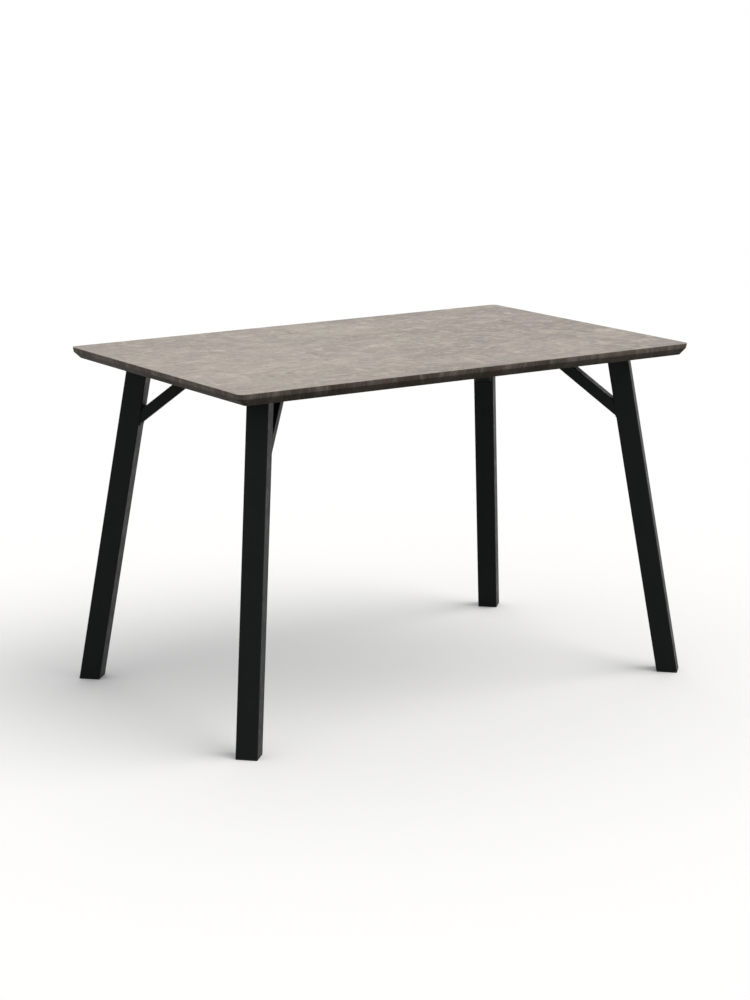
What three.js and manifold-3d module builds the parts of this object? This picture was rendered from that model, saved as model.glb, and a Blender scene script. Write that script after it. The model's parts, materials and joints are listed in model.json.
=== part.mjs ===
// Extendable dining table: a two-part top on four splayed and braced steel legs.
// Each half of the top carries two legs and slides on a centre frame, which stores a folded leaf.
// Millimetres, +Z up. The origin is on the floor under the middle of the table, +X runs the long
// way, and the front long side faces -Y.

import * as THREE from 'three';
import { mergeVertices } from 'three/addons/utils/BufferGeometryUtils.js';
import Module from 'manifold-3d';

const wasm = await Module();
wasm.setup();

// ---- driving dimensions: the table --------------------------------------------------------------

const tableLength = 1200;
const tableWidth = 750;
const tableHeight = 780;
const openingPerHalf = 200;        // travel of each half, so the leaf is twice as long

// ---- the top ------------------------------------------------------------------------------------

const edgeHeight = 26;             // height of the edge all round
const boardThickness = 15;         // board inside the rim, and the leaf
const rimWidth = 60;               // thick border under the outline of the top
const bandHeight = 11;             // near-upright upper band of the edge
const bandLean = 1.5;              // how far that band leans in towards its foot
const endUndercut = 18;            // how far the underside lies inside the outline at the ends
const sideUndercut = 10;           // the same, along the long sides
const cornerRadius = 15;
const innerCornerRadius = 2;       // smallest corner radius, reached on the underside
const edgeEasing = 0.8;            // small bevel round the top face
const seamGap = 0.1;               // butt joint between the halves
const arcSteps = 8;                // facets of a quarter circle on the top

// ---- legs ---------------------------------------------------------------------------------------

const legFromEnd = 118;            // leg axis at the underside, from the end of the table
const legFromSide = 115;           // the same, from the long side
const legReach = 134;              // how far the foot stands out along the diagonal
const legSection = 48;             // square tube
const tubeWall = 2;
const braceDepth = 25;             // seen from the side
const braceWidth = 40;             // across, seen along it
const braceAngle = 38.5;           // degrees above the horizontal
const braceDrop = 128;             // from the underside to where the brace meets the leg
const strapThickness = 5;
const strapOverhang = 24;          // strap beyond the leg and beyond the brace
const glideFlange = 3;
const glidePlug = 22;
const glideClearance = 0.3;

// ---- fasteners ----------------------------------------------------------------------------------

const screwRadius = 2.5;
const screwHeadRadius = 5.5;
const screwHeadHeight = 3;
const screwHeadFlat = 0.7;         // share of the head's radius that is flat on top
const screwBite = 10;              // length of screw in the board
const screwClearance = 0.3;
const dowelRadius = 4;
const dowelHold = 24;              // length in the half that keeps the dowel
const dowelReach = 14;             // length that enters the other half
const dowelSpacing = 250;
const dowelClearance = 0.2;
const seat = 0.3;                  // gap where a piece in a turned group rests on another
const overshoot = 5;               // how far a cutter passes the faces it opens

// ---- slide frame --------------------------------------------------------------------------------

const beamHeight = 24;
const beamWidth = 20;
const beamWall = 3;
const beamLip = 4;                 // lips that hold the rail's head in the beam
const beamClearance = 0.4;         // under the board
const beamEndClearance = 13;       // from the beam's end to the strap
const slideClearance = 0.5;        // round the rail's head
const railGap = 1.5;               // between the beam and the rail's web
const railFlange = 12;             // screwed to the board
const railSetback = 6;             // from the seam to the end of the rail
const leafClearance = 1;           // over the stored leaf
const leafSideClearance = 8;       // from the stored leaf to the beam
const leafGap = 0.2;               // shortens each board of the leaf
const hingeThickness = 1.3;        // one plate
const hingeSlot = 0.4;             // between the two plates of a folded hinge
const hingePlate = 26;
const hingeWidth = 60;
const hingeSpacing = 120;
const hingeBarrelRadius = 2.4;
const trayBarWidth = 30;
const trayBarThickness = 6;
const trayBarSpacing = 150;
const trayBarGap = 2.5;            // from the leaf's long edge to the crank of the bar

// ---- equaliser: two racks and a pinion ----------------------------------------------------------

const gearModule = 2;
const pinionTeeth = 18;
const pressureAngle = THREE.MathUtils.degToRad(20);
const dedendumFactor = 1.25;
const toothThinning = 0.12;        // taken off each flank's side of a tooth
const flankSteps = 5;
const pinionBoreClearance = 0.1;
const pinionHubRadius = 10;
const axleRadius = 4;
const axleHeadRadius = 7;
const axleHeadHeight = 3;
const rackBack = 8;                // solid depth behind the teeth
const rackHeight = 10;
const rackUnderBar = 2;            // gap from the tray bars down to the racks
const rackEngagement = 20;         // teeth past the pinion at the end of the travel
const rackEndClearance = 16;       // from the stored leaf to the rack's bracket
const housingHalfLength = 25;
const housingWall = 3;
const rackGuideClearance = 0.3;
const rackFloorClearance = 0.5;
const stopLug = 6;
const bracketThickness = 3;
const bracketWidth = 24;
const bracketFoot = 35;

// ---- latches under the seam ---------------------------------------------------------------------

const latchPivotFromSeam = 12;
const latchKeeperFromSeam = 14;
const latchPlate = 20;
const latchPlateThickness = 2;
const latchPinRadius = 3;
const latchClearance = 0.15;
const hookThickness = 4;
const hookHalfWidth = 7;
const hookTail = 16;
const hookTailTaper = 0.6;         // share of the hook's half width left at the end of its tail
const hookDrop = 2;                // gap from the latch plate down to the hook
const hookFromRail = 6;
const rivetHead = 2;
const rivetHeadRadius = 5;

// ---- derived places -----------------------------------------------------------------------------

const halfLength = tableLength / 2;
const halfWidth = tableWidth / 2;
const underside = tableHeight - edgeHeight;
const boardBottom = tableHeight - boardThickness;
const strapBottom = boardBottom - strapThickness;

const legTopX = halfLength - legFromEnd;
const legTopY = halfWidth - legFromSide;
const legSplay = Math.atan2(legReach, underside);
const legHalf = legSection / 2 / Math.cos(legSplay);   // half of a level cut, along the diagonal
const braceSlope = Math.tan(THREE.MathUtils.degToRad(braceAngle));
const braceHalf = braceDepth / 2 / Math.cos(THREE.MathUtils.degToRad(braceAngle));
const braceMeet = underside - braceDrop;

const leafHalfLength = openingPerHalf - leafGap;
const leafHalfWidth = tableWidth / 4 - leafGap;        // folded once
const leafTop = boardBottom - leafClearance;
const hingeStack = 2 * hingeThickness + hingeSlot;
const leafMiddle = leafTop - boardThickness - hingeStack / 2;
const trayTop = leafTop - 2 * boardThickness - hingeStack;
const trayBottom = trayTop - trayBarThickness;

const beamInner = leafHalfWidth + leafSideClearance;
const beamOuter = beamInner + beamWidth;
const beamTop = boardBottom - beamClearance;
const beamBottom = beamTop - beamHeight;
const beamMiddle = (beamTop + beamBottom) / 2;
const railWebInner = beamOuter + railGap;
const railOuter = railWebInner + beamWall + railFlange;
const strapCrossing = legTopX - (legTopY - beamInner) - legSection / Math.SQRT2;
const beamHalfLength = strapCrossing - beamEndClearance;

const pitchRadius = gearModule * pinionTeeth / 2;
const toothPitch = Math.PI * gearModule;
const rootDepth = dedendumFactor * gearModule;
const rackTop = trayBottom - rackUnderBar;
const rackBottom = rackTop - rackHeight;
const rackBackLine = pitchRadius + rootDepth + rackBack;
const housingInner = rackBackLine + rackGuideClearance;
const housingOuter = housingInner + housingWall;
const housingFloorTop = rackBottom - rackFloorClearance;
const housingBottom = housingFloorTop - housingWall;
const bracketInnerX = leafHalfLength + rackEndClearance;
const bracketRiserX = bracketInnerX + bracketFoot;

const latchReach = latchPivotFromSeam + latchKeeperFromSeam;
const latchPivotY = railOuter + hookFromRail + latchReach + hookHalfWidth;
const latchPlateBottom = boardBottom - latchPlateThickness;
const hookTop = latchPlateBottom - hookDrop;
const hookBottom = hookTop - hookThickness;

// ---- materials ----------------------------------------------------------------------------------

const finish = (color, roughness, metalness) =>
  new THREE.MeshStandardMaterial({ color, roughness, metalness });

const concreteLook = finish(0xafa89f, 0.7, 0);
const blackSteel = finish(0x191a19, 0.5, 0.3);
const aluminium = finish(0xa9abad, 0.4, 0.9);
const zincSteel = finish(0x9a9c9e, 0.4, 0.9);
const whiteNylon = finish(0xe4e2da, 0.5, 0);
const blackPlastic = finish(0x141414, 0.6, 0);
const beech = finish(0xc9a678, 0.6, 0);

// ---- solids: joining and cutting ----------------------------------------------------------------

function toSolid(geometry) {
  const bare = geometry.clone();
  bare.deleteAttribute('normal');
  bare.deleteAttribute('uv');
  const merged = mergeVertices(bare, 1e-4);
  return new wasm.Manifold(new wasm.Mesh({
    numProp: 3,
    vertProperties: Float32Array.from(merged.attributes.position.array),
    triVerts: Uint32Array.from(merged.index.array),
  }));
}

function toGeometry(solid) {
  const mesh = solid.getMesh();
  const geometry = new THREE.BufferGeometry();
  geometry.setAttribute('position', new THREE.BufferAttribute(mesh.vertProperties, 3));
  geometry.setIndex(new THREE.BufferAttribute(mesh.triVerts, 1));
  geometry.computeVertexNormals();
  return geometry;
}

const join = (first, ...others) =>
  toGeometry(others.reduce((solid, other) => solid.add(toSolid(other)), toSolid(first)));

const cut = (first, ...others) =>
  toGeometry(others.reduce((solid, other) => solid.subtract(toSolid(other)), toSolid(first)));

// ---- solids: shapes -----------------------------------------------------------------------------

// Axes that an extruded outline is laid on: [outline x, outline y, direction of extrusion].
const axes = {
  X: new THREE.Vector3(1, 0, 0),
  Y: new THREE.Vector3(0, 1, 0),
  Z: new THREE.Vector3(0, 0, 1),
};

function extrude(outline, depth, holes = []) {
  const shape = new THREE.Shape(outline.map(([x, y]) => new THREE.Vector2(x, y)));
  shape.holes = holes.map((hole) => new THREE.Path(hole.map(([x, y]) => new THREE.Vector2(x, y))));
  return new THREE.ExtrudeGeometry(shape, { depth, bevelEnabled: false });
}

// A plan outline (x, y) between two heights.
const slab = (outline, z0, z1, holes) => extrude(outline, z1 - z0, holes).translate(0, 0, z0);

// An outline (y, z) run along X.
function runAlongX(outline, x0, x1) {
  const turn = new THREE.Matrix4().makeBasis(axes.Y, axes.Z, axes.X);
  return extrude(outline, x1 - x0).applyMatrix4(turn).translate(x0, 0, 0);
}

// An outline (x, z) run along Y, centred on y.
function runAlongY(outline, width, y = 0) {
  const turn = new THREE.Matrix4().makeBasis(axes.X, axes.Z, axes.Y.clone().negate());
  return extrude(outline, width).applyMatrix4(turn).translate(0, y + width / 2, 0);
}

function block(x0, x1, y0, y1, z0, z1) {
  const box = new THREE.BoxGeometry(x1 - x0, y1 - y0, z1 - z0);
  return box.translate((x0 + x1) / 2, (y0 + y1) / 2, (z0 + z1) / 2);
}

// An upright round bar.
function round(radius, x, y, z0, z1, facets = 24) {
  const bar = new THREE.CylinderGeometry(radius, radius, z1 - z0, facets).rotateX(Math.PI / 2);
  return bar.translate(x, y, (z0 + z1) / 2);
}

// A round bar that lies along X.
function roundAlongX(radius, x0, x1, y, z, facets = 24) {
  const bar = new THREE.CylinderGeometry(radius, radius, x1 - x0, facets).rotateZ(Math.PI / 2);
  return bar.translate((x0 + x1) / 2, y, z);
}

// Points of an arc, from one angle to another, both included.
function arc(cx, cy, radius, from, to, steps) {
  return Array.from({ length: steps + 1 }, (_, i) => {
    const angle = from + (to - from) * i / steps;
    return [cx + radius * Math.cos(angle), cy + radius * Math.sin(angle)];
  });
}

const circle = (cx, cy, radius, facets) => arc(cx, cy, radius, 0, 2 * Math.PI, facets).slice(0, -1);

const mirrored = (outline) => outline.map(([x, y]) => [-x, y]).reverse();

// A skin over level outlines with as many points each, from the lowest to the highest.
function loft(rings) {
  const count = rings[0].outline.length;
  const positions = rings.flatMap(({ outline, z }) => outline.flatMap(([x, y]) => [x, y, z]));
  const caps = THREE.ShapeUtils.triangulateShape(
    rings[0].outline.map(([x, y]) => new THREE.Vector2(x, y)), []);
  const last = (rings.length - 1) * count;
  const faces = caps.flatMap(([a, b, c]) => [a, c, b, last + a, last + b, last + c]);
  for (let ring = 0; ring < rings.length - 1; ring += 1) {
    for (let i = 0; i < count; i += 1) {
      const next = (i + 1) % count;
      const [a, b] = [ring * count + i, ring * count + next];
      faces.push(a, b, b + count, a, b + count, a + count);
    }
  }
  const geometry = new THREE.BufferGeometry();
  geometry.setAttribute('position', new THREE.Float32BufferAttribute(positions, 3));
  geometry.setIndex(faces);
  geometry.computeVertexNormals();
  return geometry;
}

function piece(name, geometry, material) {
  const mesh = new THREE.Mesh(geometry, material);
  mesh.name = name;
  return mesh;
}

// ---- the top ------------------------------------------------------------------------------------

// Plan outline of the half that points to +X, drawn inside the table's outline by endInset at the
// end and by sideInset along the long sides.
function halfOutline(endInset, sideInset = endInset) {
  const radius = Math.max(cornerRadius - sideInset, innerCornerRadius);
  const x = halfLength - endInset - radius;
  const y = halfWidth - sideInset - radius;
  return [
    [seamGap / 2, -(y + radius)],
    ...arc(x, -y, radius, -Math.PI / 2, 0, arcSteps),
    ...arc(x, y, radius, 0, Math.PI / 2, arcSteps),
    [seamGap / 2, y + radius],
  ];
}

// Places of the strap's screws along the diagonal of a leg, from its axis at the underside.
function strapScrewReaches() {
  const outer = legHalf + strapOverhang / 2;
  const inner = -(braceTopReach(-1) + strapOverhang / 2);
  const between = -(legHalf + braceTopReach(1)) / 2;
  return [outer, between, inner];
}

// How far inside the leg axis the upper (+1) or lower (-1) edge of the brace reaches the strap.
function braceTopReach(edge) {
  const start = legFaceReach(braceMeet);
  return start + (strapBottom - braceMeet - edge * braceHalf) / braceSlope;
}

// How far inside the axis at the underside the inner face of the leg lies, at a height.
const legFaceReach = (z) => legHalf - legReach * (1 - z / underside);

const legCorners = [[1, -1], [1, 1]];

function topHalf() {
  const edge = loft([
    { outline: halfOutline(endUndercut, sideUndercut), z: underside },
    { outline: halfOutline(bandLean), z: tableHeight - bandHeight },
    { outline: halfOutline(0), z: tableHeight - edgeEasing },
    { outline: halfOutline(edgeEasing), z: tableHeight },
  ]);
  const [recessX, recessY] = [halfLength - rimWidth, halfWidth - rimWidth];
  const recess = block(-overshoot, recessX, -recessY, recessY, underside - overshoot, boardBottom);
  const dowelHoles = dowelPlaces().map((y) =>
    roundAlongX(dowelRadius + dowelClearance, -overshoot, dowelHold + dowelClearance, y, dowelLevel));
  const pilotHoles = legCorners.flatMap(([sideX, sideY]) => strapScrewReaches().map((reach) =>
    round(
      screwRadius + screwClearance,
      sideX * (legTopX + reach / Math.SQRT2),
      sideY * (legTopY + reach / Math.SQRT2),
      boardBottom - overshoot,
      boardBottom + screwBite + screwClearance,
      12,
    )));
  return cut(edge, recess, ...dowelHoles, ...pilotHoles);
}

const dowelLevel = tableHeight - boardThickness / 2;
const dowelPlaces = () => [-dowelSpacing, 0, dowelSpacing];

function dowel(y) {
  const chamfer = 1;
  const profile = [
    [0, -dowelHold],
    [dowelRadius, -dowelHold],
    [dowelRadius, dowelReach - chamfer],
    [dowelRadius - chamfer, dowelReach],
    [0, dowelReach],
  ];
  const pin = new THREE.LatheGeometry(profile.map(([r, h]) => new THREE.Vector2(r, h)), 24);
  return pin.rotateZ(-Math.PI / 2).translate(0, y, dowelLevel);
}

// ---- one leg, in its own frame: +X points out along the diagonal, x = 0 is its axis at the underside 

// Side outline of a leg tube between two heights, drawn inside its faces by inset.
function legSide(z0, z1, inset) {
  const axisAt = (z) => legReach * (1 - z / underside);
  const half = legHalf - inset / Math.cos(legSplay);
  return [
    [axisAt(z0) - half, z0],
    [axisAt(z0) + half, z0],
    [axisAt(z1) + half, z1],
    [axisAt(z1) - half, z1],
  ];
}

function legTube() {
  const [bottom, top] = [glideFlange + seat, strapBottom - seat];
  const outside = runAlongY(legSide(bottom, top, 0), legSection);
  const bore = legSide(bottom - overshoot, top + overshoot, tubeWall);
  return cut(outside, runAlongY(bore, legSection - 2 * tubeWall));
}

function glide() {
  const inset = tubeWall + glideClearance;
  const flange = runAlongY(legSide(0, glideFlange, 0), legSection);
  const plug = runAlongY(legSide(glideFlange / 2, glideFlange + glidePlug, inset), legSection - 2 * inset);
  return join(flange, plug);
}

// Side outline of the brace: from the leg's inner face up to the strap, drawn inside its faces by
// inset and longer at each end by past.
function braceSide(inset, past) {
  const half = braceHalf * (1 - 2 * inset / braceDepth);
  const faceSlope = legReach / underside;
  const startReach = legFaceReach(braceMeet) + seat - past;
  const top = strapBottom - seat + past;
  const meetLeg = (edge) => {
    // The brace's edge line and the leg's face line, both as reach from the axis at the underside.
    const atStart = braceMeet + edge * half + braceSlope * (seat - past);
    const reach = (faceSlope * (atStart - braceMeet)) / (1 - faceSlope * braceSlope);
    return [-(startReach + reach), atStart + braceSlope * reach];
  };
  const meetStrap = (edge) => {
    const reach = legFaceReach(braceMeet) + (top - braceMeet - edge * half) / braceSlope;
    return [-reach, top];
  };
  return [meetLeg(-1), meetLeg(1), meetStrap(1), meetStrap(-1)];
}

function brace() {
  const outside = runAlongY(braceSide(0, 0), braceWidth);
  const inside = runAlongY(braceSide(tubeWall, overshoot), braceWidth - 2 * tubeWall);
  return cut(outside, inside);
}

function strap() {
  const outer = legHalf + strapOverhang;
  const inner = -(braceTopReach(-1) + strapOverhang);
  const plate = block(inner, outer, -legSection / 2, legSection / 2, strapBottom, boardBottom - seat);
  const holes = strapScrewReaches().map((reach) =>
    round(screwRadius + screwClearance, reach, 0, strapBottom - overshoot, boardBottom + overshoot, 12));
  return cut(plate, ...holes);
}

function strapScrew(reach) {
  const headTop = strapBottom - seat;
  const headBottom = headTop - screwHeadHeight;
  const profile = [
    [0, headBottom],
    [screwHeadRadius * screwHeadFlat, headBottom],
    [screwHeadRadius, headBottom + screwHeadHeight / 2],
    [screwHeadRadius, headTop],
    [screwRadius, headTop],
    [screwRadius, boardBottom + screwBite],
    [0, boardBottom + screwBite],
  ];
  const screw = new THREE.LatheGeometry(profile.map(([r, z]) => new THREE.Vector2(r, z)), 16);
  return screw.rotateX(Math.PI / 2).translate(reach, 0, 0);
}

// A leg with its brace, strap, glide and screws, named for its corner.
function legAssembly(corner) {
  const leg = new THREE.Group();
  leg.add(
    piece(`leg_${corner}`, legTube(), blackSteel),
    piece(`brace_${corner}`, brace(), blackSteel),
    piece(`strap_${corner}`, strap(), blackSteel),
    piece(`glide_${corner}`, glide(), blackPlastic),
  );
  strapScrewReaches().forEach((reach, i) => {
    leg.add(piece(`strap_screw_${corner}_${i + 1}`, strapScrew(reach), zincSteel));
  });
  return leg;
}

// ---- slides -------------------------------------------------------------------------------------

// Section (y, z) of the front centre beam: a lipped channel that opens outwards, to -Y.
const beamSection = [
  [-beamInner, beamBottom],
  [-beamInner, beamTop],
  [-beamOuter, beamTop],
  [-beamOuter, beamTop - beamWall - beamLip],
  [-(beamOuter - beamWall), beamTop - beamWall - beamLip],
  [-(beamOuter - beamWall), beamTop - beamWall],
  [-(beamInner + beamWall), beamTop - beamWall],
  [-(beamInner + beamWall), beamBottom + beamWall],
  [-(beamOuter - beamWall), beamBottom + beamWall],
  [-(beamOuter - beamWall), beamBottom + beamWall + beamLip],
  [-beamOuter, beamBottom + beamWall + beamLip],
  [-beamOuter, beamBottom],
];

// Section (y, z) of a front rail: a flange under the board, a web, and a T-shaped head in the beam.
function railSection() {
  const headOuter = beamOuter - beamWall - slideClearance;
  const headInner = headOuter - beamWall;
  const headTop = beamTop - beamWall - slideClearance;
  const headBottom = beamBottom + beamWall + slideClearance;
  const neckHalf = beamHeight / 2 - beamWall - beamLip - slideClearance;
  const webOuter = railWebInner + beamWall;
  return [
    [-railWebInner, boardBottom],
    [-railOuter, boardBottom],
    [-railOuter, boardBottom - beamWall],
    [-webOuter, boardBottom - beamWall],
    [-webOuter, beamMiddle - neckHalf],
    [-headOuter, beamMiddle - neckHalf],
    [-headOuter, headBottom],
    [-headInner, headBottom],
    [-headInner, headTop],
    [-headOuter, headTop],
    [-headOuter, beamMiddle + neckHalf],
    [-railWebInner, beamMiddle + neckHalf],
  ];
}

const beam = (section) => runAlongX(section, -beamHalfLength, beamHalfLength);
const rail = (section) => runAlongX(section, railSetback, beamHalfLength);

// Section (y, z) of a tray bar: it passes under the stored leaf and is cranked up to the beams.
function trayBarSection() {
  const crankInner = leafHalfWidth + trayBarGap;
  const crankOuter = crankInner + trayBarThickness;
  const right = [
    [crankOuter, trayBottom],
    [crankOuter, beamBottom - trayBarThickness],
    [beamOuter, beamBottom - trayBarThickness],
    [beamOuter, beamBottom],
    [crankInner, beamBottom],
    [crankInner, trayTop],
  ];
  return [...right, ...mirrored(right)];
}

const trayBar = (x) => runAlongX(trayBarSection(), x - trayBarWidth / 2, x + trayBarWidth / 2);

function centreTrayBar() {
  const hole = round(axleRadius + screwClearance, 0, 0, trayBottom - overshoot, trayTop + overshoot);
  return cut(trayBar(0), hole);
}

// ---- the stored leaf ----------------------------------------------------------------------------

// One board of the leaf; its edge at -Y is an outer edge of the table when the leaf is in use.
// face is the height of its laminated face and up is +1 if that face looks up.
function leafBoard(face, up) {
  const back = face - up * boardThickness;
  const bevel = (boardThickness - bandHeight) * (sideUndercut - bandLean) / (edgeHeight - bandHeight);
  const section = [
    [-leafHalfWidth, face],
    [-leafHalfWidth + bandLean, face - up * bandHeight],
    [-leafHalfWidth + bandLean + bevel, back],
    [leafHalfWidth, back],
    [leafHalfWidth, face],
  ];
  return runAlongX(section, -leafHalfLength, leafHalfLength);
}

function leafHinge(x) {
  const [x0, x1] = [x - hingeWidth / 2, x + hingeWidth / 2];
  const barrelY = leafHalfWidth + hingeBarrelRadius;
  const plate = (z0, z1) => block(x0, x1, leafHalfWidth - hingePlate, barrelY, z0, z1);
  return join(
    roundAlongX(hingeBarrelRadius, x0, x1, barrelY, leafMiddle),
    plate(leafMiddle - hingeStack / 2, leafMiddle - hingeSlot / 2),
    plate(leafMiddle + hingeSlot / 2, leafMiddle + hingeStack / 2),
  );
}

// ---- racks and pinion ---------------------------------------------------------------------------

const involute = (angle) => Math.tan(angle) - angle;

// Half the angle that a pinion tooth fills, at a radius.
function toothHalfAngle(radius) {
  const baseRadius = pitchRadius * Math.cos(pressureAngle);
  const atPitch = (toothPitch / 4 - toothThinning) / pitchRadius;
  const angle = Math.acos(Math.min(1, baseRadius / radius));
  return atPitch + involute(pressureAngle) - involute(angle);
}

function pinionOutline() {
  const baseRadius = pitchRadius * Math.cos(pressureAngle);
  const tipRadius = pitchRadius + gearModule;
  const rootRadius = pitchRadius - rootDepth;
  const flank = Array.from({ length: flankSteps + 1 }, (_, i) =>
    baseRadius + (tipRadius - baseRadius) * i / flankSteps);
  const half = [[rootRadius, toothHalfAngle(baseRadius)], ...flank.map((r) => [r, toothHalfAngle(r)])];
  const tooth = [...half.map(([r, a]) => [r, -a]), ...half.slice().reverse()];
  return Array.from({ length: pinionTeeth }, (_, k) => k * 2 * Math.PI / pinionTeeth)
    .flatMap((turn) => tooth.map(([r, a]) => [r * Math.cos(turn + a), r * Math.sin(turn + a)]));
}

function pinion() {
  const bore = axleRadius + pinionBoreClearance;
  const gear = slab(pinionOutline(), rackBottom, rackTop);
  const hub = round(pinionHubRadius, 0, 0, housingFloorTop + seat, trayBottom - seat, 32);
  return cut(join(gear, hub), round(bore, 0, 0, housingBottom, trayTop, 32));
}

function pinionAxle() {
  const profile = [
    [0, housingBottom - axleHeadHeight],
    [axleHeadRadius, housingBottom - axleHeadHeight],
    [axleHeadRadius, housingBottom],
    [axleRadius, housingBottom],
    [axleRadius, trayTop - seat],
    [0, trayTop - seat],
  ];
  return new THREE.LatheGeometry(profile.map(([r, z]) => new THREE.Vector2(r, z)), 32)
    .rotateX(Math.PI / 2);
}

// A channel under the middle tray bar that keeps both racks against the pinion.
function pinionHousing() {
  const section = [
    [-housingOuter, housingBottom],
    [housingOuter, housingBottom],
    [housingOuter, trayBottom],
    [housingInner, trayBottom],
    [housingInner, housingFloorTop],
    [-housingInner, housingFloorTop],
    [-housingInner, trayBottom],
    [-housingOuter, trayBottom],
  ];
  const channel = runAlongX(section, -housingHalfLength, housingHalfLength);
  const [below, above] = [housingBottom - overshoot, housingFloorTop + overshoot];
  return cut(channel, round(axleRadius + screwClearance, 0, 0, below, above));
}

// The rack of the half that points to +X. Its teeth face +Y, and a lug at its far end stops the
// half against the housing.
function rack() {
  const rootLine = -(pitchRadius + rootDepth);
  const tipLine = -(pitchRadius - gearModule);
  const halfAtPitch = toothPitch / 4 - toothThinning;
  const tipHalf = halfAtPitch - gearModule * Math.tan(pressureAngle);
  const rootHalf = halfAtPitch + rootDepth * Math.tan(pressureAngle);
  const first = Math.floor(rackEngagement / toothPitch);
  const last = -Math.floor((openingPerHalf + rackEngagement) / toothPitch);
  const teeth = [];
  for (let k = first; k >= last; k -= 1) {
    const x = k * toothPitch;
    teeth.push([x + rootHalf, rootLine], [x + tipHalf, tipLine], [x - tipHalf, tipLine]);
    teeth.push([x - rootHalf, rootLine]);
  }
  const lugRight = -(openingPerHalf + housingHalfLength + seat);
  const outline = [
    [lugRight, -rackBackLine],
    [bracketRiserX, -rackBackLine],
    [bracketRiserX, rootLine],
    ...teeth,
    [lugRight - stopLug, rootLine],
    [lugRight - stopLug, -housingOuter],
    [lugRight, -housingOuter],
  ];
  return slab(outline, rackBottom, rackTop);
}

// A bent strip from the rack up to the board.
function rackBracket() {
  const outline = [
    [bracketInnerX, rackTop],
    [bracketRiserX, rackTop],
    [bracketRiserX, boardBottom - bracketThickness],
    [bracketRiserX + bracketFoot, boardBottom - bracketThickness],
    [bracketRiserX + bracketFoot, boardBottom],
    [bracketRiserX - bracketThickness, boardBottom],
    [bracketRiserX - bracketThickness, rackTop + bracketThickness],
    [bracketInnerX, rackTop + bracketThickness],
  ];
  return runAlongY(outline, bracketWidth, -(pitchRadius + rackBackLine) / 2);
}

// ---- latches ------------------------------------------------------------------------------------

// Plate under the board with a riveted pivot pin, centred on its own origin.
function latchBase() {
  const half = latchPlate / 2;
  const pinBottom = hookBottom - latchClearance - rivetHead;
  return join(
    block(-half, half, -half, half, latchPlateBottom, boardBottom),
    round(latchPinRadius, 0, 0, pinBottom, latchPlateBottom + latchPlateThickness / 2),
    round(rivetHeadRadius, 0, 0, pinBottom, pinBottom + rivetHead),
  );
}

function latchKeeper() {
  const half = latchPlate / 2;
  return join(
    block(-half, half, -half, half, latchPlateBottom, boardBottom),
    round(latchPinRadius, 0, 0, hookBottom, latchPlateBottom + latchPlateThickness / 2),
  );
}

// Hook of a latch, closed: it points to +X, and its notch opens on the side it swings towards.
function latchHook(swing) {
  const notchRadius = latchPinRadius + 3 * latchClearance;
  const drift = latchReach - Math.sqrt(latchReach ** 2 - hookHalfWidth ** 2);
  const outline = [
    [-hookTail, hookHalfWidth * hookTailTaper],
    [-hookTail, -hookHalfWidth * hookTailTaper],
    [-hookHalfWidth, -hookHalfWidth],
    [latchReach - notchRadius - drift, -hookHalfWidth],
    ...arc(latchReach, 0, notchRadius, Math.PI, 0, 8),
    [latchReach + notchRadius, -hookHalfWidth],
    [latchReach + hookHalfWidth, -hookHalfWidth],
    [latchReach + hookHalfWidth, hookHalfWidth],
  ].map(([x, y]) => [x, -swing * y]);
  const bore = circle(0, 0, latchPinRadius + latchClearance, 24);
  return slab(outline, hookBottom, hookTop, [bore]);
}

// ---- assembly -----------------------------------------------------------------------------------

// One half of the table, built pointing to +X and turned to its side.
function tableHalf(side) {
  const half = new THREE.Group();
  half.rotation.z = side === 'right' ? 0 : Math.PI;
  const rowAt = (y) => ((y < 0) === (side === 'right') ? 'front' : 'rear');
  half.add(piece(`top_half_${side}`, topHalf(), concreteLook));
  for (const sideY of [-1, 1]) {
    const corner = `${rowAt(sideY)}_${side}`;
    const leg = legAssembly(corner);
    leg.position.set(legTopX, sideY * legTopY, 0);
    leg.rotation.z = sideY * Math.PI / 4;
    const section = sideY < 0 ? railSection() : mirrored(railSection());
    half.add(leg, piece(`rail_${corner}`, rail(section), zincSteel));
  }
  half.add(
    piece(`rack_${side}`, rack(), whiteNylon),
    piece(`rack_bracket_${side}`, rackBracket(), zincSteel),
  );
  return half;
}

function slideFrame() {
  const frame = new THREE.Group();
  frame.add(
    piece('beam_front', beam(beamSection), aluminium),
    piece('beam_rear', beam(mirrored(beamSection)), aluminium),
    piece('tray_bar_left', trayBar(-trayBarSpacing), blackSteel),
    piece('tray_bar_centre', centreTrayBar(), blackSteel),
    piece('tray_bar_right', trayBar(trayBarSpacing), blackSteel),
    piece('pinion_housing', pinionHousing(), zincSteel),
    piece('pinion_axle', pinionAxle(), zincSteel),
    piece('pinion', pinion(), whiteNylon),
    piece('leaf_board_lower', leafBoard(trayTop, -1), concreteLook),
    piece('leaf_board_upper', leafBoard(leafTop, 1), concreteLook),
    piece('leaf_hinge_left', leafHinge(-hingeSpacing), zincSteel),
    piece('leaf_hinge_right', leafHinge(hingeSpacing), zincSteel),
  );
  return frame;
}

// Latch of the front (-1) or rear (+1) row, shown open: its hook points to the middle of the table.
function latch(row, sideY) {
  const parts = new THREE.Group();
  parts.position.y = sideY * latchPivotY;
  const base = piece(`latch_base_${row}`, latchBase(), zincSteel);
  const hook = piece(`latch_hook_${row}`, latchHook(sideY), blackSteel);
  const keeper = piece(`latch_keeper_${row}`, latchKeeper(), zincSteel);
  base.position.x = -latchPivotFromSeam;
  hook.position.x = -latchPivotFromSeam;
  hook.rotation.z = -sideY * Math.PI / 2;
  keeper.position.x = latchKeeperFromSeam;
  parts.add(base, hook, keeper);
  return parts;
}

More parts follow.
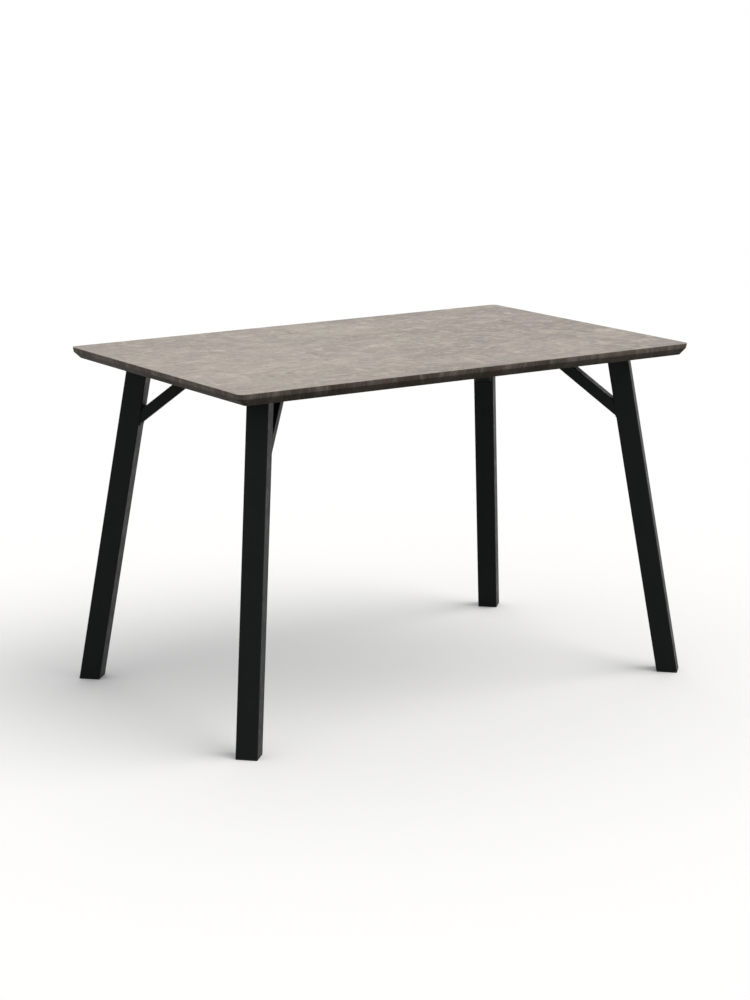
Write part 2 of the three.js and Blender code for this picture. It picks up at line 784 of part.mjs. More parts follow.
const table = new THREE.Group();
table.add(tableHalf('left'), tableHalf('right'), slideFrame(), latch('front', -1), latch('rear', 1));
dowelPlaces().forEach((y, i) => table.add(piece(`dowel_${i + 1}`, dowel(y), beech)));

export default table;
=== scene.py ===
"""Looks of an extendable dining table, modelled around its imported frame.

The concrete-look top is made of two halves on four splayed and braced square-tube legs. Both
halves slide on a centre frame, which stores a folded leaf. Lengths are in metres, +Z is up, +X
runs the long way and the front long side faces -Y.
"""

import json
import logging
import math
from contextlib import contextmanager
from dataclasses import dataclass
from enum import Enum
from typing import Callable, Iterator, Sequence

import bmesh
import bpy
from mathutils import Matrix, Vector

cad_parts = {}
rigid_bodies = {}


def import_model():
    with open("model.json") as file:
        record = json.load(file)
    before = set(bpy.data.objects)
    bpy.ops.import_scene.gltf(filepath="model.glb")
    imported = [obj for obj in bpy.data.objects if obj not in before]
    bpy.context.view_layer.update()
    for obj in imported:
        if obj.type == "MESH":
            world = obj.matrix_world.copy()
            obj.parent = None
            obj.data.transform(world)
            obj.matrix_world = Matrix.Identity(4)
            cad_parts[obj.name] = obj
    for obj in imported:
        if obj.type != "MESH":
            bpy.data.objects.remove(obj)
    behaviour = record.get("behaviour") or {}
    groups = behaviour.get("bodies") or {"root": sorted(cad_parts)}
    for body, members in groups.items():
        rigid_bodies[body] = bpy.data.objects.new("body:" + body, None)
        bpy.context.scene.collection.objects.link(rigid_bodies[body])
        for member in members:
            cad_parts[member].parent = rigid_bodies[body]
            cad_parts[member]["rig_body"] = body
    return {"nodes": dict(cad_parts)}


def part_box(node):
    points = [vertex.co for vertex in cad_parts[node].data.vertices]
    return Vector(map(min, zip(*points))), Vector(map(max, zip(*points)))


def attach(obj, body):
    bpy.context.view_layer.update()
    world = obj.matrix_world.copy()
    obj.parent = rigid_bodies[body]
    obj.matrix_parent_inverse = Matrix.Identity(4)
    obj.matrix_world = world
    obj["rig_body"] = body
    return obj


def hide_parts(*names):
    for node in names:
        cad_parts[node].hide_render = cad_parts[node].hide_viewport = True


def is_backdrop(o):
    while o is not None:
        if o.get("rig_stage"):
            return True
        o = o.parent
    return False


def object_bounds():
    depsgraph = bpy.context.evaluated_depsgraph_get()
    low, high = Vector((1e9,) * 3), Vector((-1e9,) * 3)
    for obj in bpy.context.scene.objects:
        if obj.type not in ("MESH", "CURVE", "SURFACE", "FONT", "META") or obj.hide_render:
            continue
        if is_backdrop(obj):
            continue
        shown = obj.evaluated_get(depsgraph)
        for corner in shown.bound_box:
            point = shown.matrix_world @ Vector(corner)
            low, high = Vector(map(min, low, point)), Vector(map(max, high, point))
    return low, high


log = logging.getLogger("dining_table")

MM = 0.001
NEAR = 0.1 * MM  # places closer than this count as one
WELD_DISTANCE = 0.01 * MM
FLAT = 0.9  # least upright share of the normal of a level face
LOOKS_UP = 0.5  # likewise of a face of the decor, with the eased edge round it
UNDERCUT_TILT = -0.3  # the normal of an undercut points down by more than this
SMOOTH_ANGLE = math.radians(32)
SHARP_ANGLE = math.radians(30)
PROFILE_ANGLE = math.radians(25)  # takes in the shallow edges of a board's edge profile
SHEET_ANGLE = math.radians(60)  # leaves out the facets of a bend when a sheet's edges are eased
FLUSH_ANGLE = math.radians(1)
SAW_TOLERANCE = 1e-7

Point = Sequence[float]
Colour = tuple[float, float, float]
FaceTest = Callable[[Vector, Vector], bool]  # takes a face's middle and normal
EdgeTest = Callable[[Vector, Vector], bool]  # takes an edge's two ends


# ---- shaders ----


class Wire:
    """A value, vector or colour on its way through a node tree."""

    def __init__(self, board: "NodeBoard", socket: bpy.types.NodeSocket) -> None:
        """Keeps a socket and the board that it is on."""
        self.board = board
        self.socket = socket

    def _with(self, operation: str, other: "Operand") -> "Wire":
        """Adds a Math node for this wire and another operand."""
        return self.board.node("ShaderNodeMath", {0: self, 1: other}, operation=operation)

    def __add__(self, other: "Operand") -> "Wire":
        """Returns the sum."""
        return self._with("ADD", other)

    def __mul__(self, other: "Operand") -> "Wire":
        """Returns the product."""
        return self._with("MULTIPLY", other)

    __radd__ = __add__
    __rmul__ = __mul__

    def highest(self, other: "Operand") -> "Wire":
        """Returns the larger of two values."""
        return self._with("MAXIMUM", other)

    def step(self, low: float, high: float, start: float = 0.0, end: float = 1.0) -> "Wire":
        """Returns a value that eases from start to end while this wire runs from low to high."""
        sockets = {"Value": self, "From Min": low, "From Max": high, "To Min": start, "To Max": end}
        return self.board.node("ShaderNodeMapRange", sockets, interpolation_type="SMOOTHSTEP")


Operand = Wire | float | Sequence[float]

# A Mix node's sockets for colours, by number, because other types of data have the same names.
MIX_SHARE = 0
MIX_UNDER = 6
MIX_OVER = 7
MIX_RESULT = 2


class NodeBoard:
    """The node tree of one material or of the world, emptied and ready to wire."""

    def __init__(self, owner: bpy.types.Material | bpy.types.World) -> None:
        """Empties a node tree.

        Args:
            owner: The material or world that it belongs to.
        """
        owner.use_nodes = True
        self.tree = owner.node_tree
        self.tree.nodes.clear()

    def node(
        self,
        kind: str,
        inputs: dict[int | str, Operand],
        output: int | str | None = 0,
        **settings: object,
    ) -> Wire | None:
        """Adds a node, with its settings first and then its sockets.

        Args:
            kind: Blender's type name of the node.
            inputs: Values or wires for its input sockets.
            output: The output socket to return, or None for a node that ends the tree.
            **settings: Properties of the node.

        Returns:
            A wire from the chosen output.
        """
        made = self.tree.nodes.new(kind)
        for name, value in settings.items():
            setattr(made, name, value)
        for key, value in inputs.items():
            socket = made.inputs[key]
            if isinstance(value, Wire):
                self.tree.links.new(value.socket, socket)
            else:
                socket.default_value = (*value, 1.0) if socket.type == "RGBA" else value
        return None if output is None else Wire(self, made.outputs[output])

    def place(self) -> Wire:
        """Returns Object coordinates, which are the table's own."""
        return self.node("ShaderNodeTexCoord", {}, "Object")

    def stretched(self, vector: Wire, scale: Point, shift: Point = (0.0, 0.0, 0.0)) -> Wire:
        """Scales coordinates and then moves them, to take another part of a pattern."""
        return self.node("ShaderNodeMapping", {"Vector": vector, "Scale": scale, "Location": shift})

    def noise(
        self, vector: Wire, scale: float, detail: float = 3.0, rough: float = 0.5, warp: float = 0.0
    ) -> Wire:
        """Returns cloudy noise from 0 to 1, centred on one half, of so many clouds to the metre."""
        sockets = {"Scale": scale, "Detail": detail, "Roughness": rough, "Distortion": warp}
        return self.node("ShaderNodeTexNoise", {"Vector": vector} | sockets)

    def layered(self, colour: Operand, *coats: tuple[Wire, Colour]) -> Wire:
        """Lays coats of colour over a first one.

        Args:
            colour: The first colour.
            *coats: How much of each next colour shows, and the colour.

        Returns:
            The mixed colour.
        """
        for share, coat in coats:
            sockets = {MIX_SHARE: share, MIX_UNDER: colour, MIX_OVER: coat}
            colour = self.node("ShaderNodeMix", sockets, MIX_RESULT, data_type="RGBA")
        return colour

    def skin(
        self, colour: Wire, roughness: Operand, sheen: float, height: Wire, depth: float, strength: float
    ) -> dict[str, Operand]:
        """Gathers what a textured surface feeds to its shader.

        Args:
            colour: Its colour.
            roughness: How dull it is.
            sheen: How strongly it reflects, where 0.5 is usual.
            height: The height of its texture, from 0 to 1.
            depth: The depth of its texture in metres.
            strength: How much of its texture shows.

        Returns:
            The values and wires by the names of their sockets.
        """
        normal = self.node("ShaderNodeBump", {"Height": height, "Distance": depth, "Strength": strength})
        return {
            "Base Color": colour,
            "Roughness": roughness,
            "Specular IOR Level": sheen,
            "Normal": normal,
        }

    def surface(self, shader: Wire, output: str = "ShaderNodeOutputMaterial") -> None:
        """Ends the tree in its output node."""
        self.node(output, {"Surface": shader}, None)


def srgb(red: int, green: int, blue: int) -> Colour:
    """Turns an 8-bit display colour into linear values.

    Args:
        red: Red, from 0 to 255.
        green: Green, from 0 to 255.
        blue: Blue, from 0 to 255.

    Returns:
        The linear colour.
    """

    def linear(value: int) -> float:
        """Returns one channel in linear light."""
        share = value / 255
        return share / 12.92 if share <= 0.04045 else ((share + 0.055) / 1.055) ** 2.4

    return linear(red), linear(green), linear(blue)


@dataclass(frozen=True)
class Finish:
    """A surface finish: its material and the slot that it takes in the record."""

    name: str
    slot: str

    def material(self) -> bpy.types.Material:
        """Finds the finish's material, or makes it at the first call.

        Returns:
            The material.
        """
        found = bpy.data.materials.get(self.name)
        if found is None:
            found = bpy.data.materials.new(self.name)
            board = NodeBoard(found)
            sockets = {"IOR": 1.5} | self.sockets(board, board.place())
            board.surface(board.node("ShaderNodeBsdfPrincipled", sockets))
        return found

    def sockets(self, board: NodeBoard, place: Wire) -> dict[str, Operand]:
        """Wires the pattern of the finish, and returns what feeds the shader's sockets."""
        raise NotImplementedError


@dataclass(frozen=True)
class ConcreteLaminate(Finish):
    """Printed laminate that looks like trowelled concrete, with its streaks along X."""

    body: Colour = srgb(160, 152, 142)
    pale: Colour = srgb(176, 168, 157)
    dark: Colour = srgb(136, 128, 121)
    stain: Colour = srgb(96, 89, 84)
    cream: Colour = srgb(216, 207, 192)
    pink: Colour = srgb(164, 150, 145)
    green: Colour = srgb(154, 149, 136)
    sheen: float = 0.2
    flow: Point = (0.68, 1.0, 1.0)
    cloud_shift: Point = (-1.83, 6.95, 0.0)
    patch_shift: Point = (-2.04, -7.79, 0.0)

    def sockets(self, board: NodeBoard, place: Wire) -> dict[str, Operand]:
        """Wires clouds, smears and fibres.

        Args:
            board: The node tree.
            place: Object coordinates.

        Returns:
            Mottled colour, uneven gloss and a shallow texture.
        """
        smear = board.stretched(place, (0.34, 1.0, 1.0))
        drag = board.stretched(place, (0.22, 1.0, 1.0))
        across = board.stretched(place, (1.0, 0.28, 1.0))
        clouds = board.noise(board.stretched(place, self.flow, self.cloud_shift), 3.2, 4.0, 0.55, 0.6)
        patches = board.noise(board.stretched(place, self.flow, self.patch_shift), 11.0, 8.0, 0.66, 1.6)
        tint = board.noise(board.stretched(place, self.flow), 8.0, 4.0, 0.55, 1.0)
        smears = board.noise(smear, 38.0, 6.0, 0.70, 1.4)
        trowel = board.noise(across, 34.0, 5.0, 0.66, 0.7)
        strokes = board.noise(drag, 100.0, 5.0, 0.7, 0.8)
        fibres = board.noise(smear, 280.0, 4.0, 0.8, 0.4)
        colour = board.layered(
            self.dark,
            (clouds.step(0.40, 0.62), self.body),
            (patches.step(0.48, 0.64, 0.0, 0.80), self.pale),
            (patches.step(0.36, 0.50, 0.70, 0.0), self.dark),
            (tint.step(0.47, 0.60, 0.0, 0.40), self.pink),
            (tint.step(0.38, 0.50, 0.15, 0.0), self.green),
            (smears.step(0.52, 0.66, 0.0, 0.75), self.pale),
            (smears.step(0.34, 0.47, 0.50, 0.0), self.dark),
            (smears.step(0.58, 0.72, 0.0, 0.8) * patches.step(0.46, 0.60), self.cream),
            (trowel.step(0.56, 0.72, 0.0, 0.45), self.cream),
            (trowel.step(0.26, 0.42, 0.55, 0.0), self.stain),
            (strokes.step(0.54, 0.70, 0.0, 0.45), self.cream),
            (strokes.step(0.30, 0.44, 0.30, 0.0), self.stain),
            (fibres.step(0.52, 0.68, 0.0, 0.35), self.cream),
            (fibres.step(0.34, 0.48, 0.35, 0.0), self.stain),
        )
        height = smears * 0.5 + fibres * 0.5
        gloss = patches.step(0.3, 0.7, 0.56, 0.70)
        return board.skin(colour, gloss, self.sheen, height, depth=0.05 * MM, strength=0.35)


@dataclass(frozen=True)
class EdgeDecor(Finish):
    """Dark printed edge of the top, with fine upright streaks."""

    body: Colour = srgb(124, 115, 107)
    pale: Colour = srgb(162, 152, 141)
    dark: Colour = srgb(90, 82, 76)
    rust: Colour = srgb(124, 100, 86)
    sheen: float = 0.04

    def sockets(self, board: NodeBoard, place: Wire) -> dict[str, Operand]:
        """Wires upright streaks.

        Args:
            board: The node tree.
            place: Object coordinates.

        Returns:
            Streaked colour and a dull gloss.
        """
        upright = board.stretched(place, (1.0, 1.0, 0.14))
        streaks = board.noise(upright, 230.0, 4.0, 0.65, 0.2)
        threads = board.noise(upright, 700.0, 3.0, 0.7)
        bands = board.noise(upright, 42.0, 4.0, 0.6, 0.5)
        clouds = board.noise(place, 9.0, 3.0, 0.5)
        colour = board.layered(
            self.dark,
            (clouds.step(0.35, 0.65), self.body),
            (bands.step(0.48, 0.68, 0.0, 0.6), self.pale),
            (streaks.step(0.50, 0.72, 0.0, 0.6), self.pale),
            (streaks.step(0.28, 0.46, 0.6, 0.0), self.dark),
            (bands.step(0.34, 0.50, 0.45, 0.0), self.rust),
            (threads.step(0.4, 0.7, 0.0, 0.35), self.dark),
        )
        gloss = streaks.step(0.3, 0.7, 0.5, 0.66)
        return board.skin(colour, gloss, self.sheen, streaks, depth=0.03 * MM, strength=0.3)


@dataclass(frozen=True)
class BackingPaper(Finish):
    """Matt backing of the boards, with flecks of fibre."""

    body: Colour = srgb(104, 99, 93)
    fleck: Colour = srgb(82, 77, 72)
    pale: Colour = srgb(121, 116, 109)

    def sockets(self, board: NodeBoard, place: Wire) -> dict[str, Operand]:
        """Wires flecks of fibre.

        Args:
            board: The node tree.
            place: Object coordinates.

        Returns:
            Faintly flecked colour.
        """
        fibres = board.noise(board.stretched(place, (0.35, 1.0, 1.0)), 260.0, 4.0, 0.7, 0.8)
        clouds = board.noise(place, 11.0, 3.0, 0.5)
        colour = board.layered(
            self.body,
            (clouds.step(0.35, 0.65, 0.0, 0.35), self.pale),
            (fibres.step(0.54, 0.68, 0.0, 0.6), self.fleck),
            (fibres.step(0.30, 0.44, 0.4, 0.0), self.pale),
        )
        return board.skin(colour, 0.78, sheen=0.2, height=fibres, depth=0.05 * MM, strength=0.4)


@dataclass(frozen=True)
class BoardCore(Finish):
    """Bare fibreboard where a hole is drilled."""

    body: Colour = srgb(150, 116, 82)
    dark: Colour = srgb(112, 82, 55)

    def sockets(self, board: NodeBoard, place: Wire) -> dict[str, Operand]:
        """Wires short fibres.

        Args:
            board: The node tree.
            place: Object coordinates.

        Returns:
            Fibrous brown.
        """
        fibres = board.noise(place, 900.0, 4.0, 0.75, 0.5)
        colour = board.layered(self.dark, (fibres.step(0.35, 0.65), self.body))
        return board.skin(colour, 0.9, sheen=0.15, height=fibres, depth=0.1 * MM, strength=0.5)


@dataclass(frozen=True)
class PowderCoat(Finish):
    """Black powder coat on steel: a fine orange peel, a little paler where it is rubbed."""

    body: Colour = srgb(18, 20, 20)
    rubbed: Colour = srgb(27, 29, 28)
    sheen: float = 0.11

    def sockets(self, board: NodeBoard, place: Wire) -> dict[str, Operand]:
        """Wires dust and orange peel.

        Args:
            board: The node tree.
            place: Object coordinates.

        Returns:
            Near-black colour, uneven gloss and a fine relief.
        """
        peel = board.noise(place, 900.0, 2.0, 0.5)
        dust = board.noise(place, 38.0, 5.0, 0.65, 0.7)
        colour = board.layered(self.body, (dust.step(0.42, 0.72, 0.0, 0.6), self.rubbed))
        gloss = dust.step(0.3, 0.7, 0.42, 0.56)
        return board.skin(colour, gloss, self.sheen, peel, depth=0.02 * MM, strength=0.5)


@dataclass(frozen=True)
class BareMetal(Finish):
    """Bare or plated metal, drawn along one axis or clouded all over."""

    body: Colour = srgb(190, 192, 194)
    dull: Colour = srgb(150, 152, 155)
    along: Point = (1.0, 1.0, 1.0)
    scale: float = 160.0
    rough_low: float = 0.26
    rough_high: float = 0.44

    def sockets(self, board: NodeBoard, place: Wire) -> dict[str, Operand]:
        """Wires a drawn or clouded grain.

        Args:
            board: The node tree.
            place: Object coordinates.

        Returns:
            Metal with that grain in its colour and gloss.
        """
        lines = board.noise(board.stretched(place, self.along), self.scale, 5.0, 0.65, 0.3)
        clouds = board.noise(place, 26.0, 3.0, 0.6, 0.5)
        colour = board.layered(
            self.dull,
            (lines.step(0.35, 0.65), self.body),
            (clouds.step(0.45, 0.70, 0.0, 0.35), self.dull),
        )
        gloss = lines.step(0.35, 0.65, self.rough_high, self.rough_low)
        skin = board.skin(colour, gloss, sheen=0.5, height=lines, depth=0.01 * MM, strength=0.35)
        return {"Metallic": 0.95} | skin


@dataclass(frozen=True)
class MouldedPlastic(Finish):
    """Moulded plastic with a fine spark-eroded grain."""

    body: Colour = srgb(228, 226, 217)
    shade: Colour = srgb(212, 209, 198)
    roughness: float = 0.45
    sheen: float = 0.4

    def sockets(self, board: NodeBoard, place: Wire) -> dict[str, Operand]:
        """Wires a fine grain.

        Args:
            board: The node tree.
            place: Object coordinates.

        Returns:
            Faintly clouded plastic.
        """
        grain = board.noise(place, 1500.0, 2.0, 0.6)
        flow = board.noise(place, 34.0, 3.0, 0.5, 1.0)
        colour = board.layered(self.body, (flow.step(0.35, 0.65, 0.0, 0.8), self.shade))
        gloss = grain.step(0.3, 0.7, self.roughness, self.roughness + 0.12)
        return board.skin(colour, gloss, self.sheen, grain, depth=0.02 * MM, strength=0.4)


@dataclass(frozen=True)
class TurnedBeech(Finish):
    """Beech, with its grain along X."""

    body: Colour = srgb(205, 170, 124)
    grain: Colour = srgb(176, 136, 92)
    fleck: Colour = srgb(150, 108, 70)

    def sockets(self, board: NodeBoard, place: Wire) -> dict[str, Operand]:
        """Wires the grain of the wood.

        Args:
            board: The node tree.
            place: Object coordinates.

        Returns:
            Pale wood with short dark flecks.
        """
        along = board.stretched(place, (0.08, 1.0, 1.0))
        rings = board.noise(along, 620.0, 4.0, 0.6, 0.6)
        flecks = board.noise(along, 1900.0, 2.0, 0.5)
        colour = board.layered(
            self.grain,
            (rings.step(0.35, 0.65), self.body),
            (flecks.step(0.60, 0.72, 0.0, 0.6), self.fleck),
        )
        return board.skin(colour, 0.6, sheen=0.3, height=rings, depth=0.03 * MM, strength=0.5)


LAMINATE = ConcreteLaminate("concrete_look_laminate", "concrete_laminate")
EDGING = EdgeDecor("dark_edge_decor", "concrete_laminate")
# Painted shade: a darker copy of the edge decor for the undercut, which faces downwards, so that it reads
# as shaded.
UNDERCUT_PAINTED_SHADE = EdgeDecor(
    "undercut_painted_shade",
    "concrete_laminate",
    body=srgb(86, 80, 72),
    pale=srgb(108, 101, 92),
    dark=srgb(62, 57, 51),
    rust=srgb(84, 70, 59),
)
BACKING = BackingPaper("board_backing", "concrete_laminate")
CORE = BoardCore("drilled_board", "concrete_laminate")
BLACK_STEEL = PowderCoat("black_powder_coat", "black_steel")
ZINC = BareMetal("zinc_plated_steel", "zinc_steel")
ALUMINIUM = BareMetal(
    "drawn_aluminium",
    "aluminium",
    body=srgb(205, 206, 207),
    dull=srgb(176, 178, 180),
    along=(0.02, 1.0, 1.0),
    scale=900.0,
)
NYLON = MouldedPlastic("white_nylon_moulding", "white_nylon")
BLACK_PLASTIC = MouldedPlastic(
    "black_plastic_moulding",
    "black_plastic",
    body=srgb(24, 24, 24),
    shade=srgb(32, 32, 32),
    roughness=0.5,
    sheen=0.25,
)
BEECH = TurnedBeech("turned_beech", "beech")


# ---- the bench: meshes shaped with Blender's own operators ----


class Element(Enum):
    """What edit mode selects."""

    VERTEX = "VERT"
    EDGE = "EDGE"
    FACE = "FACE"

    @property
    def listed(self) -> str:
        """Returns the name of the list that a mesh keeps them in."""
        return self.value.lower() + "s"


class Combination(Enum):
    """How one solid acts on another."""

    CUT = "DIFFERENCE"
    FUSE = "UNION"


def longer(axis: str, length: float) -> EdgeTest:
    """Returns a test for edges that run further than a length along an axis."""
    return lambda a, b: abs(getattr(a, axis) - getattr(b, axis)) > length


def below(height: float) -> EdgeTest:
    """Returns a test for edges that lie below a height."""
    return lambda a, b: max(a.z, b.z) < height


def above(height: float) -> EdgeTest:
    """Returns a test for edges that lie above a height."""
    return lambda a, b: min(a.z, b.z) > height


def deselect_all() -> None:
    """Deselects every object and leaves none active."""
    bpy.ops.object.select_all(action="DESELECT")
    bpy.context.view_layer.objects.active = None


class Workpiece:
    """A mesh on the bench, and the hand operations that shape it."""

    def __init__(self, obj: bpy.types.Object) -> None:
        """Takes an object to work on."""
        self.obj = obj

    @classmethod
    def block(cls, name: str, low: Point, high: Point) -> "Workpiece":
        """Starts a rectangular block.

        Args:
            name: Its name.
            low: Its lowest corner.
            high: Its highest corner.

        Returns:
            The block.
        """
        deselect_all()
        first, last = Vector(low), Vector(high)
        bpy.ops.mesh.primitive_cube_add(size=1.0, location=(first + last) / 2)
        made = cls(bpy.context.active_object).named(name)
        made.obj.scale = last - first
        return made.applied()

    @classmethod
    def rod(cls, name: str, radius: float, start: Point, end: Point, sides: int = 24) -> "Workpiece":
        """Starts a round bar.

        Args:
            name: Its name.
            radius: Its radius.
            start: The middle of its first end.
            end: The middle of its other end.
            sides: How many flat sides it has.

        Returns:
            The bar.
        """
        deselect_all()
        first, last = Vector(start), Vector(end)
        bpy.ops.mesh.primitive_cylinder_add(
            vertices=sides,
            radius=radius,
            depth=(last - first).length,
            location=(first + last) / 2,
            rotation=(last - first).to_track_quat("Z", "Y").to_euler(),
        )
        return cls(bpy.context.active_object).named(name).applied()

    @classmethod
    def of_node(cls, name: str, source: bpy.types.Object) -> "Workpiece":
        """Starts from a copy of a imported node, with its loose triangles joined into flat faces.

        Args:
            name: The name of the copy.
            source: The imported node.

        Returns:
            The copy.
        """
        made = cls(source).copied(name)
        for key in list(made.obj.keys()):
            del made.obj[key]
        made.obj.parent = None
        made.obj.data.materials.clear()
        with made.editing(Element.VERTEX):
            bpy.ops.mesh.select_all(action="SELECT")
            bpy.ops.mesh.remove_doubles(threshold=WELD_DISTANCE)
            bpy.ops.mesh.dissolve_limited(angle_limit=FLUSH_ANGLE)
        return made

    def named(self, name: str) -> "Workpiece":
        """Names the object and its mesh.

        Args:
            name: The name of both.

        Returns:
            This workpiece.
        """
        self.obj.name = name
        self.obj.data.name = name
        return self

    def activate(self) -> None:
        """Makes this the one selected object."""
        deselect_all()
        self.obj.select_set(True)
        bpy.context.view_layer.objects.active = self.obj

    def applied(self) -> "Workpiece":
        """Puts the object's place into its mesh.

        Returns:
            This workpiece.
        """
        self.activate()
        bpy.ops.object.transform_apply(location=True, rotation=True, scale=True)
        return self

    def placed(self, matrix: Matrix) -> "Workpiece":
        """Moves the mesh by a matrix."""
        self.obj.matrix_world = matrix
        return self.applied()

    def copied(self, name: str) -> "Workpiece":
        """Copies the object and its mesh.

        Args:
            name: The name of the copy.

        Returns:
            The copy.
        """
        obj = self.obj.copy()
        obj.data = self.obj.data.copy()
        bpy.context.scene.collection.objects.link(obj)
        return Workpiece(obj).named(name)

    def scrapped(self) -> None:
        """Removes the object and its mesh."""
        bpy.data.meshes.remove(self.obj.data)

    @contextmanager
    def editing(self, element: Element) -> Iterator[None]:
        """Opens the mesh in edit mode with nothing selected.

        Args:
            element: What is selected there.

        Returns:
            A context that lasts as long as the mesh is open.
        """
        self.activate()
        bpy.ops.object.mode_set(mode="EDIT")
        bpy.ops.mesh.select_mode(type=element.value)
        bpy.ops.mesh.select_all(action="DESELECT")
        yield
        bpy.ops.object.mode_set(mode="OBJECT")

    def _pick(self, kind: Element, test: Callable[..., bool]) -> int:
        """Selects what passes a test, in edit mode.

        Args:
            kind: What is looked at.
            test: Takes a vertex, edge or face.

        Returns:
            How many are selected.
        """
        mesh = bmesh.from_edit_mesh(self.obj.data)
        mesh.normal_update()
        elements = getattr(mesh, kind.listed)
        for element in elements:
            element.select_set(test(element))
        bmesh.update_edit_mesh(self.obj.data)
        return sum(element.select for element in elements)

    def pick_faces(self, test: FaceTest) -> None:
        """Selects the faces whose middle and normal pass a test."""
        self._pick(Element.FACE, lambda face: test(face.calc_center_median(), face.normal))

    def pick_edges(self, test: EdgeTest, least_angle: float) -> int:
        """Selects the sharp edges that pass a test.

        Args:
            test: Which edges, by their two ends.
            least_angle: The smallest angle between faces that counts as sharp.

        Returns:
            How many are selected.
        """

        def passes(edge: bmesh.types.BMEdge) -> bool:
            """Tells whether an edge is sharp enough and passes the test."""
            sharp = edge.calc_face_angle(math.pi) >= least_angle
            return sharp and test(*(vertex.co for vertex in edge.verts))

        return self._pick(Element.EDGE, passes)

    def pick_vertices(self, test: Callable[[Vector], bool]) -> None:
        """Selects the vertices whose place passes a test."""
        self._pick(Element.VERTEX, lambda vertex: test(vertex.co))

    def eased(
        self,
        width: float,
        segments: int = 2,
        test: EdgeTest = lambda a, b: True,
        least_angle: float = SHARP_ANGLE,
        clamp: bool = True,
    ) -> "Workpiece":
        """Bevels the sharp edges that pass a test.

        Args:
            width: How far the bevel reaches from each edge.
            segments: Facets of the bevel.
            test: Which edges, by their two ends.
            least_angle: The smallest angle between faces that counts as sharp.
            clamp: Keeps bevels from running into each other.

        Returns:
            This workpiece.
        """
        with self.editing(Element.EDGE):
            if self.pick_edges(test, least_angle):
                bpy.ops.mesh.bevel(
                    offset=width, segments=segments, profile=0.5, affect="EDGES", clamp_overlap=clamp
                )
        return self

    def trimmed(self, point: Point, outward: Point) -> "Workpiece":
        """Saws the solid at a plane and throws one side away.

        Args:
            point: A point on the plane.
            outward: The plane's normal, towards the side that goes.

        Returns:
            This workpiece.
        """
        with self.editing(Element.FACE):
            bpy.ops.mesh.select_all(action="SELECT")
            bpy.ops.mesh.bisect(
                plane_co=point,
                plane_no=outward,
                use_fill=True,
                clear_outer=True,
                threshold=SAW_TOLERANCE,
            )
        return self

    def drilled(self, *cutters: "Workpiece") -> "Workpiece":
        """Cuts other solids out of this one and removes them."""
        return self._combined(Combination.CUT, cutters)

    def fused(self, *others: "Workpiece") -> "Workpiece":
        """Joins other solids to this one and removes them."""
        return self._combined(Combination.FUSE, others)

    def _combined(self, how: Combination, others: Sequence["Workpiece"]) -> "Workpiece":
        """Applies a Boolean modifier for each of some other solids, and removes them.

        Args:
            how: What the modifier does.
            others: The other solids.

        Returns:
            This workpiece.
        """
        for other in others:
            self.activate()
            modifier = self.obj.modifiers.new("combine", "BOOLEAN")
            modifier.operation = how.value
            modifier.solver = "EXACT"
            modifier.object = other.obj
            bpy.ops.object.modifier_apply(modifier=modifier.name)
            other.scrapped()
        return self

    def with_loose(self, *others: "Workpiece") -> "Workpiece":
        """Joins other meshes to this one as separate shells.

        Args:
            *others: The other meshes.

        Returns:
            This workpiece.
        """
        self.activate()
        for other in others:
            other.obj.select_set(True)
        bpy.ops.object.join()
        return self

    def hollowed(self, wall: float, end: FaceTest) -> "Workpiece":
        """Bores a bar from end to end, leaving a wall.

        Args:
            wall: Thickness of the wall.
            end: Picks the two end faces.

        Returns:
            This workpiece, now a tube.
        """
        with self.editing(Element.FACE):
            self.pick_faces(end)
            bpy.ops.mesh.inset(thickness=wall, depth=0.0, use_even_offset=True)
            bpy.ops.mesh.bridge_edge_loops()
        return self

    def shaded(self) -> "Workpiece":
        """Shades round parts smooth and keeps flat faces flat.

        Returns:
            This workpiece.
        """
        self.activate()
        bpy.ops.object.shade_smooth_by_angle(angle=SMOOTH_ANGLE)
        modifier = self.obj.modifiers.new("normals", "WEIGHTED_NORMAL")
        modifier.keep_sharp = True
        bpy.ops.object.modifier_apply(modifier=modifier.name)
        return self

    def dressed(self, finish: Finish, *others: tuple[Finish, FaceTest]) -> "Workpiece":
        """Gives the mesh its finishes.

        Args:
            finish: The finish of the whole.
            *others: Other finishes, and tests for the faces that have them.

        Returns:
            This workpiece.
        """
        mesh = self.obj.data
        mesh.materials.clear()
        mesh.materials.append(finish.material())
        for index, (other, test) in enumerate(others, start=1):
            mesh.materials.append(other.material())
            for face in mesh.polygons:
                if test(face.center, face.normal):
                    face.material_index = index
        return self


# ---- screws ----


class Head(Enum):
    """Shapes of a screw's head, as the share of its height that is rounded over."""

    PAN = 0.5
    BUTTON = 0.85
    COUNTERSUNK = 0.0


